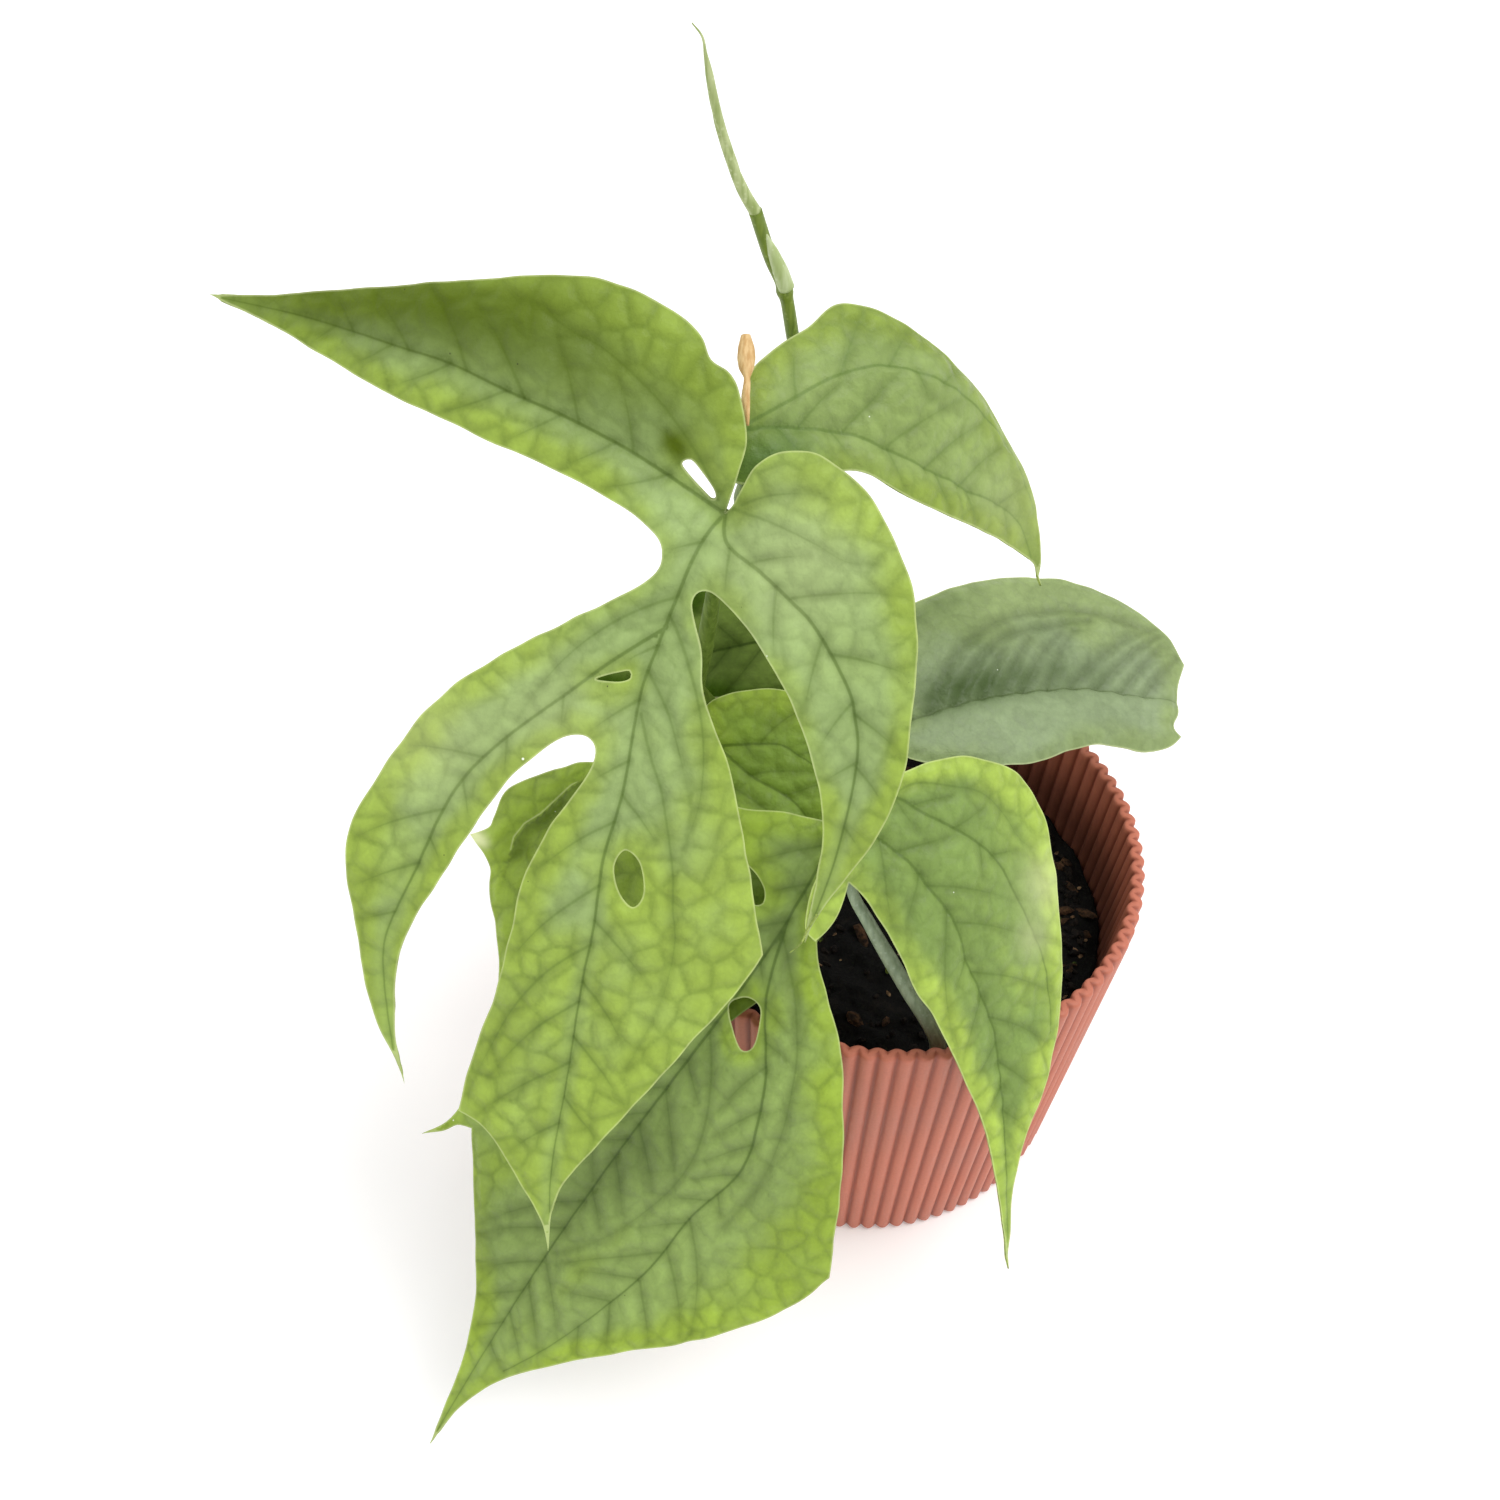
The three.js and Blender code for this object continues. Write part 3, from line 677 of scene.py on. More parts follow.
@dataclass(frozen=True)
class PaperFinish:
    """Dry papery sheath with lengthwise fibres."""

    name: str
    light: Colour
    dark: Colour
    fibre: float = 1500.0

    def material(self) -> bpy.types.Material:
        """Builds the material on the object's own coordinates."""
        shader = Shader(self.name, 0.8, 0.2)
        spot = shader.place(Place.OBJECT)
        fibres = shader.cloud(shader.stretch(spot, (1.0, 0.3, 0.14)), self.fibre, detail=4)
        stains = shader.cloud(spot, 160)
        colour = shader.mix(shader.span(fibres, *CLOUD_RANGE), linear(self.light), linear(self.dark))
        colour = shader.mix(shader.span(stains, 0.45, 0.75, 0, 0.5), colour, linear(self.dark))
        return shader.done(colour, shader.bump(fibres, 0.0002))


@dataclass(frozen=True)
class PotFinish:
    """Matte moulded plastic, with painted light on the flutes' crests, painted shade in their grooves and on
    the inner wall near the soil.
    """

    name: str = "terracotta_plastic"
    light: Colour = (189, 111, 88)
    dark: Colour = (145, 74, 54)
    painted_wall_shade: Colour = (58, 32, 24)

    def material(self) -> bpy.types.Material:
        """Builds the material from the flute attribute and fine speckle."""
        shader = Shader(self.name, 0.5, 0.35)
        spot = shader.place(Place.OBJECT)
        crest = shader.attribute("crest")
        # Crests painted lighter and grooves darker: painted light and shade of the fluting
        colour = shader.mix(shader.span(crest, 0.0, 0.75), linear(self.dark), linear(self.light))
        # Inner wall darker towards the soil: painted shade
        colour = shader.mix(shader.attribute("painted_wall_shade"), colour, linear(self.painted_wall_shade))
        patches, speckle = shader.cloud(spot, 35), shader.cloud(spot, 1300)
        colour = shader.tint(colour, shader.span(patches, *CLOUD_RANGE, 0.94, 1.04))
        colour = shader.tint(colour, shader.span(speckle, *CLOUD_RANGE, 0.96, 1.03))
        drawn = shader.cloud(shader.stretch(spot, (1.0, 1.0, 0.05)), 600, detail=2)
        relief = shader.bump(speckle, 0.00005)
        relief = shader.bump(drawn, 0.00006, relief)
        return shader.done(colour, relief, shader.span(patches, *CLOUD_RANGE, 0.46, 0.58))


@dataclass(frozen=True)
class CrumbFinish:
    """Loose matter: soil, bark, fibres or moss, mottled between two colours."""

    name: str
    light: Colour
    dark: Colour
    scale: float
    grain: float
    share: Point2 = (0.35, 0.7)
    roughness: float = 0.9

    def material(self) -> bpy.types.Material:
        """Builds the material on the object's own coordinates."""
        shader = Shader(self.name, self.roughness, 0.25)
        spot = shader.place(Place.OBJECT)
        mottle = shader.cloud(spot, self.scale, detail=5, warp=0.5)
        grain = shader.cloud(spot, self.grain, detail=4)
        colour = shader.mix(shader.span(mottle, *self.share), linear(self.dark), linear(self.light))
        colour = shader.tint(colour, shader.span(grain, 0.25, 0.75, 0.6, 1.3))
        return shader.done(colour, shader.bump(grain, 0.0006))


# Leaves

Spot = tuple[float, float, float, float]

# Drawing of the veins and the net, in millimetres, steps and degrees
VEIN_STEP = 0.8
VEIN_TAPER = {"main": 0.28, "side": 0.5}
VEIN_LEAN = (48, 58)
VEIN_BEND = (0.5, 0.9)
VEIN_SPREAD = (0.85, 1.15)
VEIN_WANDER = (1.3, 9, 0)
LONGEST_VEIN = 100
SHORTEST_VEIN = 7
CLEAR_OF_MAIN = 1.0
CLEAR_OF_SIDE = 2.4
CLEAR_OF_MARGIN = 1.3
ROW_PITCH = 0.87
CELL_SHIFT = (0.42, 0.4)
SHORTEST_BORDER = 0.5
NET_STEP = 0.35
NET_REACH = 4.0
CORNER_GAP = 0.55

# Relief of a blade: a rise and a width for each groove, and a rise, size and shift for each waviness
MAIN_GROOVE = (0.34, 0.8)
SIDE_GROOVE = (0.2, 1.0)
CELL_PUFF = (0.26, 2.4)
PLEAT = (0.5, 4.5)
MARGIN_CURL = (0.5, 2.5)
WAVES = ((0.7, 17, 0), (0.22, 6, 0.5))
MARGIN_WAVE = (0.6, 8, 0.9)
MARGIN_WAVE_REACH = 4
RIPPLE_SIZE = 6
RIPPLE_SHIFTS = (1.3, 2.7)

# Silver fades near the margin, and painted shade darkens the side below a fold: an amount and a reach for
# each painted shade
SILVER_MARGIN = (0.5, 9)
SILVER_LOSS = 0.8
PLAIN_SIDE_AWAY = 4.0
PLAIN_SIDE_START = 1.2
FOLD_EDGE = -0.05
FOLD_PAINTED_SHADES = ((0.3, 2.2), (0.35, 9))
FOLD_APPROACH = -3.0


@dataclass(frozen=True)
class Crease:
    """A trough pressed into a blade along a line of points."""

    depth: float
    width: float
    points: tuple[Point2, ...]


@dataclass(frozen=True)
class Fold:
    """A line where the blade steps up sharply to its right, seen along the line's points."""

    rise: float
    reach: float
    points: tuple[Point2, ...]

    def offset(self, spot: Vector) -> float:
        """Distance to the line: above 0 on the raised side, below 0 on the other."""
        nearest, found = 1e9, 0.0
        for start, end in zip(self.points, self.points[1:]):
            a, b = Vector(start), Vector(end)
            share = min(1.0, max(0.0, (spot - a).dot(b - a) / (b - a).length_squared))
            away = spot - a.lerp(b, share)
            if away.length < nearest:
                nearest = away.length
                found = math.copysign(nearest, (b - a).y * away.x - (b - a).x * away.y)
        return found

    def strength(self, spot: Vector) -> float:
        """How far the fold has opened: nothing at its first point, all of it further on."""
        return ease((spot - Vector(self.points[0])).dot(self.axis()), -1.0, 7.0)

    def axis(self) -> Vector:
        """Direction from the first point to the last."""
        return (Vector(self.points[-1]) - Vector(self.points[0])).normalized()


@dataclass
class Leaf:
    """One leaf with its petiole.

    In the leaf's frame x runs towards the tip, y to the right seen from above with the tip
    down, and z out of the upper face; its origin is where the petiole joins. Heading is the
    turn of x about +Z from +X, drop how far x points below the horizon, and roll turns the
    blade about x. The outline is a list of smooth runs that meet in corners.
    """

    name: str
    node: str
    base: Point3
    heading: float
    drop: float
    roll: float
    length: float
    droop: float
    swells: list[Spot]
    outline: list[list[Point2]]
    creases: list[Crease]
    petiole: list[Point3]
    radii: list[float]
    main_veins: list[list[Point2]]
    finish: BladeFinish
    stalk_finish: StalkFinish = GREEN_STALK
    holes: list[list[Point2]] = field(default_factory=list)
    minor_veins: list[list[Point2]] = field(default_factory=list)
    silver_spots: list[Spot] = field(default_factory=list)
    painted_shade_spots: list[Spot] = field(default_factory=list)
    pale_and_highlight_spots: list[Spot] = field(default_factory=list)
    folds: list[Fold] = field(default_factory=list)
    hairs: list[list[Point2]] = field(default_factory=list)
    slot: str = "leaf"
    vein_spacing: float = 12.5
    cell: float = 6.2
    grid: float = 0.8
    thickness: float = 0.5
    seating: float = 0.2
    ripple: float = 0.32
    quilt: float = 1.0
    pleat: float = 1.0
    plain_side: int = 0
    foot_radii: Point2 = (1.4, 0.8)
    hair_radii: Point3 = (0.32, 0.24, 0.1)
    hair_start: float = 60.0
    silver_peak: float = 0.85
    silver_reach: float = 17.0
    silver_fade: Point2 = (400.0, 500.0)
    seed: int = 1

    def matrix(self) -> Matrix:
        """Places the leaf's frame in the row frame, in millimetres."""
        h, d, r = (math.radians(angle) for angle in (self.heading, self.drop, self.roll))
        along = Vector((math.cos(d) * math.cos(h), math.cos(d) * math.sin(h), -math.sin(d)))
        level = Vector((-math.sin(h), math.cos(h), 0))
        across = Matrix.Rotation(r, 3, along) @ level
        face = along.cross(across)
        turn = Matrix((along, across, face)).transposed().to_4x4()
        return Matrix.Translation(self.base) @ turn

    def height(self, x: float, y: float) -> float:
        """Height of the blade's middle: droop, swells between veins and creases along them."""
        level = -self.droop * (x / self.length) ** 2 + self.spotted(self.swells, x, y)
        spot = Vector((x, y, 0))
        for crease, tree in zip(self.creases, self.crease_trees):
            level -= crease.depth * math.exp(-tree.find(spot)[2] / crease.width)
        return level

    def waviness(self, x: float, y: float, rise: float, size: float, shift: float) -> float:
        """Soft random height: rise is about the greatest, size its width, and shift picks another pattern."""
        return rise * noise.noise(Vector((x / size, y / size, self.seed + shift)))

    def closed_outline(self) -> list[Vector]:
        """Samples the whole margin as one closed loop, with small ripples."""
        loop: list[Vector] = []
        for run in self.outline:
            loop.extend(smooth_run(run, self.grid)[:-1])
        ripples = []
        for spot in loop:
            across, along = (self.waviness(*spot, 1, RIPPLE_SIZE, shift) for shift in RIPPLE_SHIFTS)
            ripples.append(spot + Vector((along, across)) * self.ripple * ease(spot.length, 3, 12))
        return ripples

    def within(self, spot: Vector) -> bool:
        """Says whether a spot lies on the blade and in none of its holes."""
        return inside(spot, self.loop) and not any(inside(spot, hole) for hole in self.hole_loops)

    def side_veins(self, stream: random.Random) -> list[list[Vector]]:
        """Draws the side veins, which leave each main vein forwards and bend towards the tip.

        Args:
            stream: Source of the small irregularities.

        Returns:
            The side veins as lines of points.
        """
        lines = [smooth_run(points, VEIN_STEP) for points in self.minor_veins]
        drawn = [spot for line in lines for spot in line]
        step, bare_tip = 0.5, 8
        for vein in self.main_lines:
            along = resample(vein, step)
            for side in (-1, 1):
                if side == self.plain_side:
                    continue
                distance = self.vein_spacing * (0.6 if side < 0 else 1.0)
                while distance < step * (len(along) - bare_tip):
                    i = int(distance / step)
                    ahead = (along[i + 2] - along[max(i - 2, 0)]).normalized()
                    lean = math.atan2(ahead.y, ahead.x) + side * math.radians(stream.uniform(*VEIN_LEAN))
                    line = self.side_vein(along[i].copy(), lean, -side * stream.uniform(*VEIN_BEND), drawn)
                    if len(line) > SHORTEST_VEIN:
                        lines.append(line)
                        drawn.extend(line[3:])
                    distance += self.vein_spacing * stream.uniform(*VEIN_SPREAD)
        return lines

    def side_vein(self, spot: Vector, lean: float, bend: float, drawn: list[Vector]) -> list[Vector]:
        """Draws one side vein until it nears the margin or another vein.

        Args:
            spot: Where it leaves its main vein.
            lean: Its first direction, in radians.
            bend: Its turn at each step, in degrees.
            drawn: Points of the veins drawn so far.

        Returns:
            The vein as a line of points.
        """
        line = [spot]
        for k in range(LONGEST_VEIN):
            lean += math.radians(bend + self.waviness(*spot, *VEIN_WANDER))
            spot = spot + Vector((math.cos(lean), math.sin(lean))) * VEIN_STEP
            flat = Vector((spot.x, spot.y, 0))
            near_main = k > 5 and self.main.distance(flat) < CLEAR_OF_MAIN
            near_drawn = k > 4 and any((spot - other).length < CLEAR_OF_SIDE for other in drawn)
            near_margin = self.margin_tree.find(flat)[2] < CLEAR_OF_MARGIN
            if near_main or near_drawn or near_margin or not self.within(spot):
                break
            line.append(spot)
        return line

    def net(self, stream: random.Random) -> tuple[list[Vector], list[Vector]]:
        """Draws the net of small veins as the borders of uneven cells.

        Args:
            stream: Source of the cells' unevenness.

        Returns:
            Samples of the borders, and the middles of the cells.
        """
        low, high = self.extent
        middles = []
        rows = int((high.y - low.y) / (self.cell * ROW_PITCH)) + 4
        columns = int((high.x - low.x) / self.cell) + 4
        for row in range(rows):
            for column in range(columns):
                aside, ahead = (stream.uniform(-shift, shift) for shift in CELL_SHIFT)
                x = low.x + (column - 1 + 0.5 * (row % 2) + aside) * self.cell
                y = low.y + ((row - 1) * ROW_PITCH + ahead) * self.cell
                middles.append(Vector((x, y)))
        verts, _, faces, *_ = geometry.delaunay_2d_cdt(middles, [], [], 0, 1e-4)
        centres, shared = [], {}
        for number, face in enumerate(faces):
            a, b, c = (verts[i] for i in face)
            centres.append(self.ring_centre(a, b, c))
            for i in range(3):
                shared.setdefault(frozenset((face[i], face[(i + 1) % 3])), []).append(number)
        border = []
        for pair in shared.values():
            if len(pair) == 2:
                start, end = centres[pair[0]], centres[pair[1]]
                length = (end - start).length
                if SHORTEST_BORDER < length < 3 * self.cell:
                    count = math.ceil(length / NET_STEP)
                    border.extend(start.lerp(end, k / count) for k in range(count + 1))
        return border, middles

    @staticmethod
    def ring_centre(a: Vector, b: Vector, c: Vector) -> Vector:
        """Centre of the circle through three points."""
        ab, ac = b - a, c - a
        cross = 2 * (ab.x * ac.y - ab.y * ac.x)
        if abs(cross) < 1e-9:
            return (a + b + c) / 3
        square_ab, square_ac = ab.length_squared, ac.length_squared
        x = (ac.y * square_ab - ab.y * square_ac) / cross
        y = (ab.x * square_ac - ac.x * square_ab) / cross
        return a + Vector((x, y))

    def survey(self) -> None:
        """Works out the margin, veins and net before the blade is meshed."""
        stream = random.Random(self.seed)
        self.crease_trees = [
            distance_tree(dense([[Vector(point) for point in crease.points]])) for crease in self.creases
        ]
        self.loop = self.closed_outline()
        self.hole_loops = [smooth_run(hole, self.grid, closed=True)[:-1] for hole in self.holes]
        self.extent = (
            Vector((min(p.x for p in self.loop), min(p.y for p in self.loop))),
            Vector((max(p.x for p in self.loop), max(p.y for p in self.loop))),
        )
        closed = [[*loop, loop[0]] for loop in (self.loop, *self.hole_loops)]
        self.margin_tree = distance_tree(dense(closed))
        self.main_lines = [smooth_run(points, VEIN_STEP) for points in self.main_veins]
        self.main = Veins(self.main_lines, VEIN_TAPER["main"])
        self.side_lines = self.side_veins(stream)
        self.side = Veins(self.side_lines, VEIN_TAPER["side"])
        self.border, self.middles = self.net(stream)
        self.net_tree = distance_tree(self.border)
        self.cell_tree = distance_tree(self.middles)
        self.cell_tones = [stream.random() for _ in self.middles]

    def plan(self) -> tuple[list[Vector], list[tuple[int, ...]]]:
        """Triangulates the blade, with corners on its margin and along its veins.

        Returns:
            The corners in the plane, and the triangles.
        """
        points: list[Vector] = []
        edges: list[tuple[int, int]] = []
        for loop in (self.loop, *self.hole_loops):
            first = len(points)
            points.extend(loop)
            edges.extend((first + i, first + (i + 1) % len(loop)) for i in range(len(loop)))
        kept_clear = CORNER_GAP * self.grid
        folded = [[Vector(point) for point in fold.points] for fold in self.folds]
        for line in (*self.main_lines, *self.side_lines, *folded):
            last = None
            for spot in resample(line, self.grid):
                flat = Vector((spot.x, spot.y, 0))
                if self.margin_tree.find(flat)[2] > kept_clear and self.within(spot):
                    points.append(spot)
                    if last is not None:
                        edges.append((last, len(points) - 1))
                    last = len(points) - 1
                else:
                    last = None
        taken = distance_tree(points)
        low, high = self.extent
        rise = self.grid * math.sqrt(3) / 2
        for row in range(int((high.y - low.y) / rise) + 2):
            for column in range(int((high.x - low.x) / self.grid) + 2):
                spot = Vector((low.x + (column + 0.5 * (row % 2)) * self.grid, low.y + row * rise))
                if taken.find(Vector((spot.x, spot.y, 0)))[2] > kept_clear and self.within(spot):
                    points.append(spot)
        verts, _, faces, *_ = geometry.delaunay_2d_cdt(points, edges, [], 1, 1e-5)
        kept = [face for face in faces if self.within(sum((verts[i] for i in face), Vector((0, 0))) / 3)]
        return verts, kept

    def fine_height(self, x: float, y: float, marks: dict[str, float]) -> float:
        """Small relief over the blade's main shape: grooves, puffed cells and a soft waviness."""
        groove = 0.0
        for name, (depth, width) in (("main_vein", MAIN_GROOVE), ("side_vein", SIDE_GROOVE)):
            groove += depth * math.exp(-((marks[name] / width) ** 2))
        smooth = 1 - 0.5 * marks["silver"]
        puff = CELL_PUFF[0] * self.quilt * smooth * ease(marks["net"], 0, CELL_PUFF[1])
        puff += PLEAT[0] * self.pleat * ease(marks["side_vein"], 0, PLEAT[1])
        wave = sum(self.waviness(x, y, *measures) for measures in WAVES)
        wave += self.waviness(x, y, *MARGIN_WAVE) * math.exp(-marks["margin"] / MARGIN_WAVE_REACH)
        curl = MARGIN_CURL[0] * math.exp(-marks["margin"] / MARGIN_CURL[1])
        spot, step = Vector((x, y)), 0.0
        for fold in self.folds:
            off = fold.offset(spot)
            fall = math.exp(-max(off, 0) / fold.reach)
            step += fold.rise * fold.strength(spot) * ease(off, FOLD_APPROACH, 0) * fall
        return puff * ease(marks["margin"], 0, 3) - groove + wave - curl + step

    def marks_at(self, x: float, y: float) -> dict[str, float]:
        """Distances to the veins, the net and the margin, and the shares of silver, painted shade and
        pale-and-highlight.
        """
        spot, flat = Vector((x, y, 0)), Vector((x, y))
        main, side = self.main.distance(spot), self.side.distance(spot)
        vein, _, away = self.main.tree.find(spot)
        silver = self.silver_peak * math.exp(-((away / self.silver_reach) ** 2))
        if self.plain_side * (y - vein.y) > 0:
            side += PLAIN_SIDE_AWAY * ease(main, 0, PLAIN_SIDE_START)
        margin = self.margin_tree.find(spot)[2]
        silver *= ease(margin, *SILVER_MARGIN) * (1 - SILVER_LOSS * ease(x, *self.silver_fade))
        silver += self.spotted(self.silver_spots, x, y)
        # Painted shade: the leaf's listed spots, and the low side of each fold
        painted_shade = self.spotted(self.painted_shade_spots, x, y)
        for fold in self.folds:
            off, opened = fold.offset(flat), fold.strength(flat)
            if off < FOLD_EDGE:
                painted_shade += opened * sum(amount * math.exp(off / reach) for amount, reach in FOLD_PAINTED_SHADES)
            else:
                margin = min(margin, off + 2 * (1 - opened))
        return {
            "main_vein": main,
            "side_vein": side,
            "net": min(self.net_tree.find(spot)[2], NET_REACH),
            "margin": min(margin, FARTHEST),
            "silver": min(1.0, max(0.0, silver)),
            "painted_shade": min(1.0, max(0.0, painted_shade)),
            "pale_and_highlight": min(1.0, self.spotted(self.pale_and_highlight_spots, x, y)),
            "cell_tone": self.cell_tones[self.cell_tree.find(spot)[1]],
        }

    @staticmethod
    def spotted(spots: list[Spot], x: float, y: float) -> float:
        """Adds up soft round spots, each given as its middle, spread and amount."""
        total = 0.0
        for middle_x, middle_y, spread, amount in spots:
            away = (x - middle_x) ** 2 + (y - middle_y) ** 2
            total += amount * math.exp(-away / (2 * spread**2))
        return total

    def blade(self) -> bmesh.types.BMesh:
        """Builds the blade in the leaf's frame, with both faces and its marks as attributes."""
        verts, faces = self.plan()
        bm = bmesh.new()
        flat_layer = bm.verts.layers.float_vector.new("flat")
        names = ("main_vein", "side_vein", "net", "margin", "silver", "painted_shade", "pale_and_highlight", "cell_tone")
        layers = {name: bm.verts.layers.float.new(name) for name in names}
        made = []
        for spot in verts:
            marks = self.marks_at(spot.x, spot.y)
            level = self.height(spot.x, spot.y) + self.fine_height(spot.x, spot.y, marks)
            vert = bm.verts.new((spot.x, spot.y, level - self.thickness / 2))
            vert[flat_layer] = (spot.x, spot.y, 0)
            for name, layer in layers.items():
                vert[layer] = marks[name]
            made.append(vert)
        for face in faces:
            bm.faces.new([made[i] for i in face])
        loose = [vert for vert in bm.verts if not vert.link_faces]
        bmesh.ops.delete(bm, geom=loose, context="VERTS")
        bm.normal_update()
        if sum(face.normal.z for face in bm.faces) < 0:
            bmesh.ops.reverse_faces(bm, faces=bm.faces)
        bmesh.ops.solidify(bm, geom=bm.faces, thickness=self.thickness)
        bmesh.ops.recalc_face_normals(bm, faces=bm.faces)
        if bm.calc_volume(signed=True) < 0:
            bmesh.ops.reverse_faces(bm, faces=bm.faces)
        bm.normal_update()
        for face in bm.faces:
            face.material_index = self.side_of(face)
        for edge in bm.edges:
            if len({face.material_index for face in edge.link_faces}) > 1:
                edge.smooth = False
        return bm

    @staticmethod
    def side_of(face: bmesh.types.BMFace) -> int:
        """Number of the material for a face: 0 above, 1 below and 2 on the rim."""
        if len(face.verts) == 4:
            return 2
        return 0 if face.normal.z > 0 else 1

    def stalk(self, bm: bmesh.types.BMesh) -> None:
        """Adds the petiole, which is seated on the underside of the blade."""
        to_leaf = self.matrix().inverted()
        seat = self.height(0, 0) + self.fine_height(0, 0, self.marks_at(0, 0)) - self.seating
        line = [to_leaf @ Vector(point) for point in self.petiole]
        line.append(Vector((0, 0, seat)))
        before = set(bm.faces)
        curve = resample(centripetal_curve([tuple(point) for point in line]), 1.2)
        sweep(bm, curve, radius_steps([*self.radii, *self.foot_radii]), 16)
        for hair in self.hairs:
            spots = [(x, y, self.height(x, y) + self.hair_radii[-1]) for x, y in hair]
            sweep(bm, resample(centripetal_curve(spots), 0.6), radius_steps(self.hair_radii), 8)
        tube = [face for face in bm.faces if face not in before]
        bmesh.ops.recalc_face_normals(bm, faces=tube)
        for face in tube:
            hair = self.hairs and face.calc_center_median().x >= self.hair_start
            face.material_index = 2 if hair else 3

    def build(self, under: bpy.types.Material, rim: bpy.types.Material):
        """Builds the leaf as one piece in place of its node.

        Args:
            under: Material of the lower face.
            rim: Material of the cut edge.

        Returns:
            The finished piece.
        """
        self.survey()
        bm = self.blade()
        self.stalk(bm)
        materials = [self.finish.material(), under, rim, self.stalk_finish.material()]
        piece = finished_piece(bm, self.name, self.matrix(), materials, outward=False)
        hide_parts(self.node)
        return piece


# Leaf finishes, from the silver centre of the plant to the older leaf at the back

LOBED_BLADE = BladeFinish(
    "blade_large_lobed", (141, 164, 68), (143, 165, 103), (80, 104, 38), painted_shade=(74, 92, 0), net_contrast=0.34,
    specular=0.14
)
UPPER_BLADE = BladeFinish(
    "blade_upper_right", (127, 147, 60), (132, 152, 86), (92, 116, 48), painted_shade=(54, 92, 30), net_contrast=0.26
)
MIDDLE_BLADE = BladeFinish(
    "blade_shaded_middle", (136, 160, 52), (120, 146, 56), (72, 94, 20), net_contrast=0.26
)
BOTTOM_BLADE = BladeFinish(
    "blade_bottom", (138, 162, 56), (130, 152, 82), (70, 94, 30), net_contrast=0.3, panel_shading=0.14,
    vein_strength=0.75
)
LOWER_BLADE = BladeFinish(
    "blade_lower_right", (154, 178, 74), (118, 142, 72), (80, 104, 38), net_contrast=0.32
)
BACK_BLADE = BladeFinish(
    "blade_back_silver", (128, 145, 92), (130, 146, 108), (84, 100, 56), painted_shade=(58, 78, 30),
    net_contrast=0.12, panel_shading=0.2, vein_strength=0.4
)
# Very dark colours paint the deep shade that the hidden inner leaf lies in
INNER_BLADE = BladeFinish(
    "blade_shaded_inner", (52, 78, 2), (100, 120, 52), (36, 54, 2), net_contrast=0.18, roughness=0.6,
    specular=0.06
)


